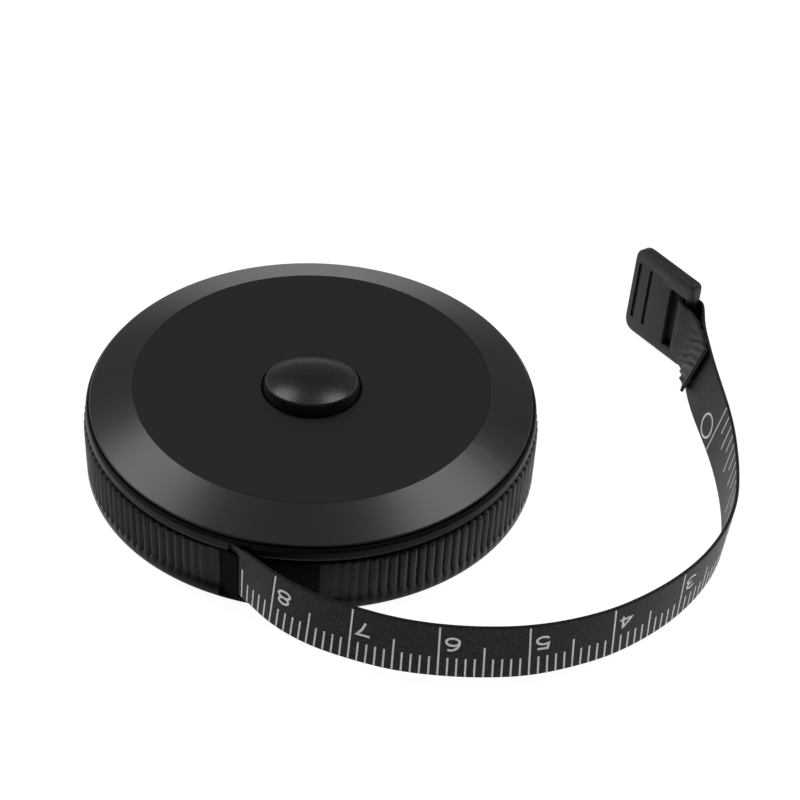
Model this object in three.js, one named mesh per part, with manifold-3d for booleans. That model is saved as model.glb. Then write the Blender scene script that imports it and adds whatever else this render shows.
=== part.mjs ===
// Round push-button tape measure: a ribbed two-part case, a spring-driven spool that stores a soft
// tape on edge, a brake worked by the button, and a pull tab on the end of the tape.
// Millimetres, +Z up. The origin is the middle of the case's base; the tape comes out at the front (-Y).

import * as THREE from 'three';
import { mergeVertices } from 'three/addons/utils/BufferGeometryUtils.js';
import Module from 'manifold-3d';

const wasm = await Module();
wasm.setup();

// Clearances
const RUN_GAP = 0.3;
const SEAT_GAP = 0.05;
const BUTTON_GAP = 0.35;
const FLANGE_GAP = 0.4;
const STEM_GAP = 0.2;
const DISC_GAP = 0.1;
const PARTING_GAP = 0.6;
const TAB_GAP = 0.3;

// Tape
const TAPE_WIDTH = 7;
const TAPE_THICKNESS = 0.4;
const COIL_PITCH = 0.815;
const COIL_TURNS = 13.5;
const COIL_STEPS = 24;

// Spool
const DRUM_WALL = 0.8;
const WEB_THICKNESS = 0.6;
const WEB_LIP = 0.8;
const HOOK_NOTCH_WIDTH = 2.2;
const HOOK_NOTCH_MARGIN = 0.3;

// Lower case
const FLOOR_THICKNESS = 0.9;
const BASE_CHAMFER = 0.4;
const LOWER_WALL = 1.2;
const LOWER_WALL_HEIGHT = 7.05;
const RIB_COUNT = 138;
const RIB_DEPTH = 0.5;
const RIB_BOTTOM = 1.3;
const RIB_CREST_SHARE = 0.5;
const BASE_INSET = 0.05;
const POST_WALL = 0.5;
const BEARING_RING_WALL = 0.8;
const BEARING_RING_HEIGHT = 0.6;

// Tape mouth, measured round the case from +X
const EXIT_ANGLE = -105.6;
const MOUTH_FRONT_ROOM = 0.85;
const MOUTH_BACK_ROOM = 0.6;
const MOUTH_LIP = 0.3;
const MOUTH_TOP_ROOM = 0.5;
const MOUTH_REACH_IN = 0.65;
const MOUTH_REACH_OUT = 7;
const SMOOTH_BEFORE = 10.4;
const SMOOTH_AFTER = 18.6;

// Top cover
const DISC_RADIUS = 20.3;
const DISC_THICKNESS = 0.5;
const DECK_THICKNESS = 0.9;
const BEZEL_DROP = 2.1;
const BEZEL_WALL = 0.95;
const LEDGE_WIDTH = 0.25;
const LEDGE_DROP = 0.2;
const SKIRT_PROUD = 0.3;
const SPIGOT_WALL = 0.8;
const SPIGOT_DEPTH = 1.75;
const HOLD_DOWN_HEIGHT = 0.6;
const HOLD_DOWN_WALL = 1.7;
const BOSS_WALL = 0.65;
const BOSS_BITE = 0.3;

// Button and brake
const BUTTON_RADIUS = 5.6;
const BUTTON_RIM_RADIUS = 5.3;
const BUTTON_RIM_HEIGHT = 0.95;
const BUTTON_DOME = 1.2;
const BUTTON_SLANT = 0.115;
const BUTTON_TRAVEL = 1.2;
const BUTTON_FLANGE_LIP = 0.65;
const BUTTON_FLANGE_HEIGHT = 0.7;
const STEM_SIDE = 3;
const STEM_LENGTH = 4.6;
const BRAKE_THICKNESS = 0.7;
const BRAKE_RIM_GAP = 0.9;
const FRICTION_RING_WIDTH = 1;
const FRICTION_RING_THICKNESS = 0.25;
const FRICTION_RING_INSET = 0.1;

// Springs and their shims
const SPRING_WIRE = 0.35;
const SPRING_BORE_GAP = 0.3;
const SPRING_PITCH = 0.85;
const MAINSPRING_THICKNESS = 0.3;
const MAINSPRING_TURNS = 7;
const MAINSPRING_STEPS = 20;
const MAINSPRING_INNER_GAP = 0.55;
const MAINSPRING_OUTER_GAP = 0.6;
const SHIM_THICKNESS = 0.2;
const SHIM_GAP = 0.15;
const HOOK_SLIT = 0.9;
const HOOK_REACH_IN = 0.9;
const HOOK_REACH_OUT = 0.6;

// Pull tab; its bar is the axis that the tape's end is looped round
const TAB_LENGTH = 10;
const TAB_THICKNESS = 1.4;
const TAB_CORNER = 1.6;
const TAB_LOWER_ARM = 1.25;
const TAB_UPPER_ARM = 1.85;
const TAB_SLOT_WIDTH = 2.2;
const TAB_SLOT_SPARE = 0.9;
const TAB_BAR = new THREE.Vector3(44, 19.7, 5.3);
const TAB_HEADING = 129.1;
const TAB_LEAN = 7.7;
const GROOVE_WIDTH = 0.5;
const GROOVE_DEPTH = 0.3;
const GROOVE_PITCH = 1.9;
const GROOVE_COUNT = 2;
const GROOVE_FIRST = 1;
const GROOVE_END_MARGIN = 1.9;

// Middle line of the free tape from the mouth to the tab: x, y, z and the outward lean in degrees
const TAPE_ROUTE = [
  [-3.6, -28.7, 4.6, -3],
  [0.4, -31.5, 4.4, -5],
  [4.8, -33.5, 4.2, -5],
  [9.5, -35.1, 4.1, -5],
  [14.4, -35.9, 3.9, -4],
  [19.4, -36.1, 3.8, -4],
  [24.3, -35.6, 3.7, -3],
  [29, -34.3, 3.7, 0],
  [33.5, -32.2, 3.6, 2],
  [37.3, -29.6, 3.6, 4],
  [40.7, -26.5, 3.6, 6],
  [43.8, -22.6, 3.6, 8],
  [46.2, -18, 3.6, 9],
  [47.5, -13.4, 3.6, 10],
  [47.9, -8.5, 3.6, 11],
  [47.8, -4, 3.6, 13],
  [47.5, -0.5, 3.7, 15],
  [46.9, 3.3, 3.9, 17],
  [46.1, 7, 4.2, 19],
  [45.4, 10.5, 4.6, 20],
  [45, 13.6, 5, 19],
  [44.9, 16.8, 5.3, 13],
];
const ROUTE_STEPS = 54;
const LEAD_STEPS = 3;
const LOOP_STEPS = 10;
const LOOP_WRAP = 192;
const TAIL_LENGTH = 7.5;
const TAIL_CLOSING = 4.5;

// Facets round the axis
const CASE_SEGMENTS = 64;
const INNER_SEGMENTS = 40;

// Heights, stacked from the floor up
const floorTop = FLOOR_THICKNESS;
const tapeBottom = floorTop + RUN_GAP;
const tapeMiddle = tapeBottom + TAPE_WIDTH / 2;
const tapeTop = tapeBottom + TAPE_WIDTH;
const webBottom = tapeTop + RUN_GAP;
const webTop = webBottom + WEB_THICKNESS;
const holdDownBottom = webTop + RUN_GAP;
const deckBottom = holdDownBottom + HOLD_DOWN_HEIGHT;
const deckTop = deckBottom + DECK_THICKNESS;
const caseTop = deckTop + DISC_THICKNESS;
const bezelEdge = caseTop - BEZEL_DROP;
const ledgeHeight = bezelEdge - LEDGE_DROP;
const skirtBottom = LOWER_WALL_HEIGHT + PARTING_GAP;
const spigotBottom = skirtBottom - SPIGOT_DEPTH;
const bossBottom = webTop - BOSS_BITE;
const bearingTop = tapeBottom + BEARING_RING_HEIGHT - RUN_GAP;
const flangeTop = deckBottom - RUN_GAP;
const flangeBottom = flangeTop - BUTTON_FLANGE_HEIGHT;
const stemBottom = flangeBottom - STEM_LENGTH;
const frictionTop = webBottom - RUN_GAP;
const frictionBottom = frictionTop - FRICTION_RING_THICKNESS;
const brakeTop = frictionBottom - SEAT_GAP;
const brakeBottom = brakeTop - BRAKE_THICKNESS;
const postTop = brakeBottom - BUTTON_TRAVEL - RUN_GAP;
const upperShimTop = postTop;
const upperShimBottom = upperShimTop - SHIM_THICKNESS;
const mainspringTop = upperShimBottom - SHIM_GAP;
const mainspringBottom = bearingTop + SHIM_GAP;
const lowerShimBottom = floorTop + SEAT_GAP;
const lowerShimTop = lowerShimBottom + SHIM_THICKNESS;
const springBottom = floorTop + SEAT_GAP;
const springTop = stemBottom - SEAT_GAP;

// Radii, worked outward from the button
const buttonHole = BUTTON_RADIUS + BUTTON_GAP;
const flangeRadius = BUTTON_RADIUS + BUTTON_FLANGE_LIP;
const bossInner = flangeRadius + RUN_GAP;
const bossOuter = bossInner + BOSS_WALL;
const webHole = bossOuter + RUN_GAP;
const holdDownOuter = bossOuter + HOLD_DOWN_WALL;
const frictionInner = webHole;
const frictionOuter = frictionInner + FRICTION_RING_WIDTH;
const brakeRadius = frictionOuter + FRICTION_RING_INSET;
const drumInner = brakeRadius + BRAKE_RIM_GAP;
const bearingOuter = drumInner - RUN_GAP;
const bearingInner = bearingOuter - BEARING_RING_WALL;
const drumOuter = drumInner + DRUM_WALL;
const coilInner = drumOuter + RUN_GAP + TAPE_THICKNESS;
const coilOuter = coilInner + COIL_PITCH * COIL_TURNS;
const webRadius = coilOuter + WEB_LIP;
const spigotInner = webRadius + FLANGE_GAP;
const spigotOuter = spigotInner + SPIGOT_WALL;
const wallInner = spigotOuter + RUN_GAP;
const ribRoot = wallInner + LOWER_WALL;
const ribCrest = ribRoot + RIB_DEPTH;
const skirtRadius = ribRoot + SKIRT_PROUD;
const bezelRadius = skirtRadius - LEDGE_WIDTH;
const recessRadius = DISC_RADIUS + DISC_GAP;

// Radii round the post
const boreSide = STEM_SIDE + 2 * STEM_GAP;
const postRadius = boreSide / Math.SQRT2 + POST_WALL;
const shimHole = postRadius + FLANGE_GAP;
const springRadius = boreSide / 2 - SPRING_BORE_GAP - SPRING_WIRE / 2;
const mainspringInner = postRadius + MAINSPRING_INNER_GAP + MAINSPRING_THICKNESS / 2;
const mainspringOuter = drumInner - MAINSPRING_OUTER_GAP - MAINSPRING_THICKNESS / 2;

// The tape leaves the coil along the tangent that passes the exit point
const radians = THREE.MathUtils.degToRad;
const exitPoint = polar(ribCrest, radians(EXIT_ANGLE), tapeMiddle);
const leaveAngle = radians(EXIT_ANGLE) - Math.acos(coilOuter / ribCrest);
const leavePoint = polar(coilOuter, leaveAngle, tapeMiddle);
const exitDirection = exitPoint.clone().sub(leavePoint).normalize();
const exitHeading = Math.atan2(exitDirection.y, exitDirection.x);

// Joined and cut solids

function polar(radius, angle, z) {
  return new THREE.Vector3(radius * Math.cos(angle), radius * Math.sin(angle), z);
}

function welded(geometry) {
  const bare = geometry.clone();
  bare.deleteAttribute('normal');
  bare.deleteAttribute('uv');
  return mergeVertices(bare, 1e-4);
}

function toSolid(geometry) {
  const mesh = welded(geometry);
  const vertProperties = new Float32Array(mesh.attributes.position.array);
  const triVerts = new Uint32Array(mesh.index.array);
  return new wasm.Manifold(new wasm.Mesh({ numProp: 3, vertProperties, triVerts }));
}

function toGeometry(solid) {
  const mesh = solid.getMesh();
  const geometry = new THREE.BufferGeometry();
  geometry.setAttribute('position', new THREE.BufferAttribute(mesh.vertProperties, 3));
  geometry.setIndex(new THREE.BufferAttribute(mesh.triVerts, 1));
  geometry.computeVertexNormals();
  return geometry;
}

// A closed profile of [radius, height] points, counter-clockwise, turned round the Z axis
function turned(profile, segments) {
  const points = profile.map(([r, z]) => new THREE.Vector2(r, z));
  if (profile[0][0] > 0 || profile.at(-1)[0] > 0) {
    points.push(points[0].clone());
  }
  return new THREE.LatheGeometry(points, segments).rotateX(Math.PI / 2);
}

function ring(inner, outer, bottom, top, segments = INNER_SEGMENTS) {
  return turned([[inner, bottom], [outer, bottom], [outer, top], [inner, top]], segments);
}

function disc(radius, bottom, top, segments = INNER_SEGMENTS) {
  return turned([[0, bottom], [radius, bottom], [radius, top], [0, top]], segments);
}

function block(x0, x1, y0, y1, z0, z1) {
  const box = new THREE.BoxGeometry(x1 - x0, y1 - y0, z1 - z0);
  return box.translate((x0 + x1) / 2, (y0 + y1) / 2, (z0 + z1) / 2);
}

// A strip of rectangular section: middle points, and at each the unit vector across its width
function strip(points, across, width, thickness) {
  const corners = [];
  points.forEach((point, i) => {
    const before = points[Math.max(i - 1, 0)];
    const after = points[Math.min(i + 1, points.length - 1)];
    const along = after.clone().sub(before).normalize();
    const face = along.clone().cross(across[i]).normalize().multiplyScalar(thickness / 2);
    const side = across[i].clone().multiplyScalar(width / 2);
    corners.push(
      point.clone().sub(side).sub(face),
      point.clone().sub(side).add(face),
      point.clone().add(side).add(face),
      point.clone().add(side).sub(face),
    );
  });
  const index = [0, 1, 2, 0, 2, 3];
  for (let i = 0; i < points.length - 1; i += 1) {
    for (let k = 0; k < 4; k += 1) {
      const a = 4 * i + k;
      const b = 4 * i + ((k + 1) % 4);
      index.push(a, b + 4, b, a, a + 4, b + 4);
    }
  }
  const last = 4 * (points.length - 1);
  index.push(last, last + 2, last + 1, last, last + 3, last + 2);
  const geometry = new THREE.BufferGeometry().setFromPoints(corners);
  geometry.setIndex(index);
  geometry.computeVertexNormals();
  return geometry;
}

// Least clear distance between turns of a wound strand, from the points along its middle
function leastGap(points, stepsPerTurn, thickness) {
  let least = Infinity;
  for (let i = 0; i < points.length; i += 1) {
    for (let j = i + Math.ceil(stepsPerTurn / 2); j < points.length; j += 1) {
      least = Math.min(least, points[i].distanceTo(points[j]) - thickness);
    }
  }
  return least;
}

function report(name, gap) {
  console.log(`${name}: least gap between its turns ${gap.toFixed(2)} mm`);
}

// Case

// A slot along the tape; the thin edge it would leave in front is cut off square to the wall
function mouthCut(bottom, top) {
  const reachIn = MOUTH_REACH_IN * leavePoint.distanceTo(exitPoint);
  const slot = block(-reachIn, MOUTH_REACH_OUT, -MOUTH_FRONT_ROOM, MOUTH_BACK_ROOM, bottom, top);
  slot.rotateZ(exitHeading).translate(exitPoint.x, exitPoint.y, 0);
  const frontLine = coilOuter + MOUTH_FRONT_ROOM;
  const lipRadius = ribRoot - MOUTH_LIP;
  const tipAngle = Math.acos(frontLine / ribRoot);
  const lipAngle = Math.acos(frontLine / lipRadius);
  const lipRun = ribRoot * Math.sin(tipAngle - lipAngle) + MOUTH_LIP;
  const lip = block(lipRadius - MOUTH_LIP, ribCrest + LOWER_WALL, 0, lipRun, bottom, top);
  lip.rotateZ(leaveAngle + lipAngle);
  return toSolid(slot).add(toSolid(lip));
}

// Outline of the ribbed wall: flat-topped ribs, left out where the tape passes
function ribbedOutline() {
  const pitch = (2 * Math.PI) / RIB_COUNT;
  const shape = new THREE.Shape();
  const points = [];
  for (let i = 0; i < RIB_COUNT; i += 1) {
    const middle = i * pitch - Math.PI;
    const past = THREE.MathUtils.radToDeg(middle) - EXIT_ANGLE;
    const smooth = past > -SMOOTH_BEFORE && past < SMOOTH_AFTER;
    const half = (RIB_CREST_SHARE * pitch) / 2;
    const crest = smooth ? ribRoot : ribCrest;
    points.push(polar(crest, middle - half, 0), polar(crest, middle + half, 0));
    points.push(polar(ribRoot, middle + pitch / 2, 0));
  }
  shape.setFromPoints(points.map((p) => new THREE.Vector2(p.x, p.y)));
  const hole = new THREE.Path();
  hole.absarc(0, 0, wallInner, 0, 2 * Math.PI, true);
  shape.holes.push(hole);
  return shape;
}

function lowerCase() {
  const wallOverlap = LOWER_WALL / 2;
  const baseRadius = ribRoot - BASE_INSET;
  const tub = turned([
    [0, 0],
    [baseRadius - BASE_CHAMFER, 0],
    [baseRadius, BASE_CHAMFER],
    [baseRadius, RIB_BOTTOM + wallOverlap],
    [wallInner, RIB_BOTTOM + wallOverlap],
    [wallInner, floorTop],
    [bearingOuter, floorTop],
    [bearingOuter, bearingTop],
    [bearingInner, bearingTop],
    [bearingInner, floorTop],
    [postRadius, floorTop],
    [postRadius, postTop],
    [0, postTop],
  ], CASE_SEGMENTS);
  const wall = new THREE.ExtrudeGeometry(ribbedOutline(), {
    depth: LOWER_WALL_HEIGHT - RIB_BOTTOM,
    bevelEnabled: false,
    curveSegments: CASE_SEGMENTS,
  });
  wall.translate(0, 0, RIB_BOTTOM);
  const half = boreSide / 2;
  const bore = block(-half, half, -half, half, floorTop, postTop + RUN_GAP);
  const slit = block(0, 2 * postRadius, -HOOK_SLIT / 2, HOOK_SLIT / 2, mainspringBottom - RUN_GAP,
    postTop + RUN_GAP);
  return toSolid(tub)
    .add(toSolid(wall))
    .subtract(toSolid(bore))
    .subtract(toSolid(slit))
    .subtract(mouthCut(floorTop, LOWER_WALL_HEIGHT + RUN_GAP));
}

function topCover() {
  const slope = BEZEL_DROP / (bezelRadius - recessRadius);
  const underBezel = (radius) => caseTop - (radius - recessRadius) * slope - BEZEL_WALL;
  const bezelMeetsDeck = recessRadius + (caseTop - BEZEL_WALL - deckBottom) / slope;
  const deckEdge = Math.min(bezelMeetsDeck, spigotInner - RUN_GAP);
  const eaves = Math.min(deckBottom, Math.max(holdDownBottom, underBezel(spigotInner)));
  const shell = turned([
    [buttonHole, deckTop],
    [buttonHole, deckBottom],
    [bossInner, deckBottom],
    [bossInner, bossBottom],
    [bossOuter, bossBottom],
    [bossOuter, holdDownBottom],
    [holdDownOuter, holdDownBottom],
    [holdDownOuter, deckBottom],
    [deckEdge, deckBottom],
    [spigotInner, eaves],
    [spigotInner, spigotBottom],
    [spigotOuter, spigotBottom],
    [spigotOuter, skirtBottom],
    [skirtRadius, skirtBottom],
    [skirtRadius, ledgeHeight],
    [bezelRadius, ledgeHeight],
    [bezelRadius, bezelEdge],
    [recessRadius, caseTop],
    [recessRadius, deckTop],
  ], CASE_SEGMENTS);
  return toSolid(shell).subtract(mouthCut(spigotBottom - RUN_GAP, tapeTop + MOUTH_TOP_ROOM));
}

function topDisc() {
  return ring(buttonHole, DISC_RADIUS, deckTop + SEAT_GAP, caseTop, CASE_SEGMENTS);
}

// Button and brake

// The cap stands higher at the front: points above the plate rise by how far forward they lie
function slanted(geometry) {
  const points = geometry.attributes.position;
  for (let i = 0; i < points.count; i += 1) {
    const share = THREE.MathUtils.clamp((points.getZ(i) - caseTop) / BUTTON_RIM_HEIGHT, 0, 1);
    points.setZ(i, points.getZ(i) - share * BUTTON_SLANT * points.getY(i));
  }
  return geometry;
}

function pushButton() {
  const rim = caseTop + BUTTON_RIM_HEIGHT;
  const profile = [
    [0, flangeBottom],
    [flangeRadius, flangeBottom],
    [flangeRadius, flangeTop],
    [BUTTON_RADIUS, flangeTop],
    [BUTTON_RADIUS, caseTop],
    [BUTTON_RIM_RADIUS, rim],
  ];
  const domeSteps = 6;
  const domeRadius = (BUTTON_RIM_RADIUS ** 2 + BUTTON_DOME ** 2) / (2 * BUTTON_DOME);
  for (let i = domeSteps - 1; i >= 0; i -= 1) {
    const radius = (BUTTON_RIM_RADIUS * i) / domeSteps;
    profile.push([radius, rim + BUTTON_DOME - domeRadius + Math.sqrt(domeRadius ** 2 - radius ** 2)]);
  }
  const half = STEM_SIDE / 2;
  const stem = block(-half, half, -half, half, stemBottom, flangeBottom + BUTTON_FLANGE_HEIGHT / 2);
  return toSolid(slanted(turned(profile, INNER_SEGMENTS))).add(toSolid(stem));
}

function brakeDisc() {
  const half = STEM_SIDE / 2 + DISC_GAP;
  const hole = block(-half, half, -half, half, brakeBottom - RUN_GAP, brakeTop + RUN_GAP);
  return toSolid(disc(brakeRadius, brakeBottom, brakeTop)).subtract(toSolid(hole));
}

function frictionRing() {
  return ring(frictionInner, frictionOuter, frictionBottom, frictionTop);
}

class Helix extends THREE.Curve {
  constructor(radius, bottom, top, turns) {
    super();
    Object.assign(this, { radius, bottom, top, turns });
  }

  getPoint(t, target = new THREE.Vector3()) {
    const angle = 2 * Math.PI * this.turns * t;
    return target.copy(polar(this.radius, angle, this.bottom + (this.top - this.bottom) * t));
  }
}

function buttonSpring() {
  const stepsPerTurn = 8;
  const sides = 5;
  const bottom = springBottom + SPRING_WIRE / 2;
  const top = springTop - SPRING_WIRE / 2;
  const turns = Math.max(1, Math.round((top - bottom) / SPRING_PITCH));
  const path = new Helix(springRadius, bottom, top, turns);
  const steps = turns * stepsPerTurn;
  report('button_spring', leastGap(path.getPoints(steps), stepsPerTurn, SPRING_WIRE));
  const section = [];
  for (let i = 0; i < sides; i += 1) {
    const angle = (2 * Math.PI * i) / sides;
    section.push(new THREE.Vector2(Math.cos(angle), Math.sin(angle)).multiplyScalar(SPRING_WIRE / 2));
  }
  return new THREE.ExtrudeGeometry(new THREE.Shape(section), { steps, extrudePath: path });
}

// Spool, its tape and its mainspring

function spool() {
  const body = turned([
    [webHole, webBottom],
    [drumInner, webBottom],
    [drumInner, tapeBottom],
    [drumOuter, tapeBottom],
    [drumOuter, webBottom],
    [webRadius, webBottom],
    [webRadius, webTop],
    [webHole, webTop],
  ], CASE_SEGMENTS);
  const half = HOOK_NOTCH_WIDTH / 2;
  const notch = block(drumInner - DRUM_WALL, drumOuter + DRUM_WALL, -half, half,
    tapeBottom - RUN_GAP, mainspringTop + HOOK_NOTCH_MARGIN);
  return toSolid(body).subtract(toSolid(notch));
}

// Wound outward, counter-clockwise from above, to end at endAngle
function spiral(inner, outer, turns, stepsPerTurn, endAngle, z) {
  const points = [];
  const steps = Math.round(turns * stepsPerTurn);
  for (let i = 0; i <= steps; i += 1) {
    const share = i / steps;
    const angle = endAngle - 2 * Math.PI * turns * (1 - share);
    points.push(polar(inner + (outer - inner) * share, angle, z));
  }
  return points;
}

function upright(points) {
  return points.map(() => new THREE.Vector3(0, 0, 1));
}

function tapeCoil() {
  const endAngle = leaveAngle - RUN_GAP / coilOuter;
  const points = spiral(coilInner, coilOuter, COIL_TURNS, COIL_STEPS, endAngle, tapeMiddle);
  report('tape_coil', leastGap(points, COIL_STEPS, TAPE_THICKNESS));
  return strip(points, upright(points), TAPE_WIDTH, TAPE_THICKNESS);
}

// The spring's inner end turns into the post's slit and its outer end into the drum's notch, both on +X
function mainspring() {
  const middle = (mainspringBottom + mainspringTop) / 2;
  const bend = (2 * Math.PI) / MAINSPRING_STEPS;
  const turns = MAINSPRING_TURNS - 2 / MAINSPRING_STEPS;
  const wound = spiral(mainspringInner, mainspringOuter, turns, MAINSPRING_STEPS, -bend, middle);
  report('mainspring', leastGap(wound, MAINSPRING_STEPS, MAINSPRING_THICKNESS));
  const points = [
    new THREE.Vector3(postRadius - HOOK_REACH_IN, 0, middle),
    new THREE.Vector3(postRadius + MAINSPRING_THICKNESS / 2, 0, middle),
    ...wound,
    polar(drumInner - MAINSPRING_THICKNESS, -bend / 4, middle),
    polar(drumInner + HOOK_REACH_OUT, 0, middle),
  ];
  return strip(points, upright(points), mainspringTop - mainspringBottom, MAINSPRING_THICKNESS);
}

function lowerSpringShim() {
  return ring(shimHole, bearingInner - RUN_GAP, lowerShimBottom, lowerShimTop);
}

function upperSpringShim() {
  return ring(shimHole, drumInner - FLANGE_GAP, upperShimBottom, upperShimTop);
}

// Pull tab: along points from the bar to the grip, back away from the case, axis up the bar

function tabFrame() {
  const heading = radians(TAB_HEADING);
  const lean = radians(TAB_LEAN);
  const along = new THREE.Vector3(Math.cos(heading), Math.sin(heading), 0);
  const outward = new THREE.Vector3(along.y, -along.x, 0);
  const axis = new THREE.Vector3(0, 0, Math.cos(lean)).addScaledVector(outward, Math.sin(lean));
  const back = axis.clone().cross(along).negate();
  return { along, back, axis };
}

function endTab() {
  const bar = TAB_THICKNESS / 2;
  const bottom = -TAPE_WIDTH / 2 - TAB_GAP - TAB_LOWER_ARM;
  const top = TAPE_WIDTH / 2 + TAB_SLOT_SPARE + TAB_UPPER_ARM;
  const far = TAB_LENGTH - bar;
  const slotEnd = bar + TAB_SLOT_WIDTH;
  const slotBottom = bottom + TAB_LOWER_ARM;
  const slotTop = top - TAB_UPPER_ARM;
  const r = TAB_CORNER;
  const outline = new THREE.Shape();
  outline.moveTo(-bar, slotBottom);
  outline.lineTo(-bar, bottom + bar);
  outline.absarc(0, bottom + bar, bar, Math.PI, 1.5 * Math.PI, false);
  outline.lineTo(far - r, bottom);
  outline.absarc(far - r, bottom + r, r, -Math.PI / 2, 0, false);
  outline.lineTo(far, top - r);
  outline.absarc(far - r, top - r, r, 0, Math.PI / 2, false);
  outline.lineTo(0, top);
  outline.absarc(0, top - bar, bar, Math.PI / 2, Math.PI, false);
  outline.lineTo(-bar, slotTop);
  outline.lineTo(slotEnd, slotTop);
  outline.lineTo(slotEnd, slotBottom);
  const plate = new THREE.ExtrudeGeometry(outline, {
    depth: TAB_THICKNESS,
    bevelEnabled: false,
    curveSegments: 5,
  });
  plate.rotateX(Math.PI / 2).translate(0, bar, 0);
  const overlap = TAB_LOWER_ARM / 2;
  const barLength = slotTop - slotBottom + 2 * overlap;
  const rod = new THREE.CylinderGeometry(bar, bar, barLength, 16).rotateX(Math.PI / 2);
  rod.translate(0, 0, (slotTop + slotBottom) / 2);
  let solid = toSolid(plate).add(toSolid(rod));
  for (let i = 0; i < GROOVE_COUNT; i += 1) {
    const x = far - GROOVE_FIRST - i * GROOVE_PITCH;
    for (const side of [-1, 1]) {
      const groove = block(x - GROOVE_WIDTH / 2, x + GROOVE_WIDTH / 2, -GROOVE_DEPTH, GROOVE_DEPTH,
        bottom + GROOVE_END_MARGIN, top - GROOVE_END_MARGIN);
      solid = solid.subtract(toSolid(groove.translate(0, side * bar, 0)));
    }
  }
  return solid;
}

// Free tape: straight out of the case, round the route, round the tab's bar and back on itself

function routeStations() {
  const { along, back, axis } = tabFrame();
  const loopRadius = TAB_THICKNESS / 2 + TAB_GAP + TAPE_THICKNESS / 2;
  const onLoop = (angle) => TAB_BAR.clone()
    .addScaledVector(along, loopRadius * Math.cos(angle))
    .addScaledVector(back, loopRadius * Math.sin(angle));
  const chosen = TAPE_ROUTE.map(([x, y, z]) => new THREE.Vector3(x, y, z));
  const toBar = TAB_BAR.clone().sub(chosen.at(-1));
  const firstAngle = Math.atan2(toBar.dot(back), toBar.dot(along)) + Math.PI / 2;
  const knots = [exitPoint, ...chosen, onLoop(firstAngle)];
  const leans = [0, ...TAPE_ROUTE.map((station) => station[3])];
  const curve = new THREE.CatmullRomCurve3(knots, false, 'centripetal');
  const points = [];
  const across = [];
  for (let i = 0; i < LEAD_STEPS; i += 1) {
    points.push(leavePoint.clone().lerp(exitPoint, i / LEAD_STEPS));
    across.push(new THREE.Vector3(0, 0, 1));
  }
  for (let i = 0; i < ROUTE_STEPS; i += 1) {
    const t = i / ROUTE_STEPS;
    const place = t * (knots.length - 1);
    const low = Math.min(Math.floor(place), leans.length - 1);
    const high = Math.min(low + 1, leans.length - 1);
    const lean = radians(leans[low] + (leans[high] - leans[low]) * (place - low));
    const tangent = curve.getTangent(t);
    const outward = new THREE.Vector3(tangent.y, -tangent.x, 0).normalize();
    const up = outward.clone().cross(tangent).normalize();
    points.push(curve.getPoint(t));
    across.push(up.multiplyScalar(Math.cos(lean)).addScaledVector(outward, Math.sin(lean)));
  }
  const main = { points: [...points], across: [...across] };
  for (let i = 0; i <= LOOP_STEPS; i += 1) {
    points.push(onLoop(firstAngle - (radians(LOOP_WRAP) * i) / LOOP_STEPS));
    across.push(axis.clone());
  }
  return { points, across, main, loopRadius };
}

function freeTape() {
  const { points, across, main, loopRadius } = routeStations();
  const bend = points.at(-1);
  const run = [];
  for (let i = main.points.length - 1; i > 0; i -= 1) {
    run.push({ point: main.points[i], across: main.across[i], before: main.points[i - 1] });
  }
  const start = run.findIndex(({ point }) => point.distanceTo(TAB_BAR) > 2 * loopRadius);
  for (let i = start, gone = 0; gone < TAIL_LENGTH && i < run.length; i += 1) {
    const { point, across: width, before } = run[i];
    gone = point.distanceTo(bend);
    const closing = THREE.MathUtils.smoothstep(gone, 0, TAIL_CLOSING);
    const offset = THREE.MathUtils.lerp(2 * loopRadius, TAPE_THICKNESS + TAB_GAP, closing);
    const facing = point.clone().sub(before).cross(width).normalize();
    points.push(point.clone().addScaledVector(facing, -offset));
    across.push(width);
  }
  return strip(points, across, TAPE_WIDTH, TAPE_THICKNESS);
}

// Assembly

const object = new THREE.Group();

function place(name, shape, colour, roughness, metalness = 0) {
  const geometry = shape instanceof THREE.BufferGeometry ? welded(shape) : toGeometry(shape);
  const material = new THREE.MeshStandardMaterial({ color: colour, roughness, metalness });
  const mesh = new THREE.Mesh(geometry, material);
  mesh.name = name;
  object.add(mesh);
  return mesh;
}

place('lower_case', lowerCase(), 0x151515, 0.4);
place('top_cover', topCover(), 0x1c1c1c, 0.35);
place('top_disc', topDisc(), 0x252525, 0.6);
place('push_button', pushButton(), 0x1a1a1a, 0.35);
place('brake_disc', brakeDisc(), 0xd8d8d2, 0.5);
place('friction_ring', frictionRing(), 0x3a3a3a, 0.9);
place('button_spring', buttonSpring(), 0xb8bcc0, 0.3, 1);
place('spool', spool(), 0xe4e2da, 0.5);
place('tape_coil', tapeCoil(), 0x222222, 0.8);
place('mainspring', mainspring(), 0x8f959c, 0.3, 1);
place('lower_spring_shim', lowerSpringShim(), 0xcfc9b8, 0.7);
place('upper_spring_shim', upperSpringShim(), 0xcfc9b8, 0.7);
place('tape', freeTape(), 0x222222, 0.8);

const tab = place('end_tab', endTab(), 0x2b2b2b, 0.5);
const { along, back, axis } = tabFrame();
tab.quaternion.setFromRotationMatrix(new THREE.Matrix4().makeBasis(along, back.clone().negate(), axis));
tab.position.copy(TAB_BAR);

export default object;
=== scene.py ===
import math

import bmesh
import bpy
import numpy as np
from mathutils import Matrix, Vector


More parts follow.
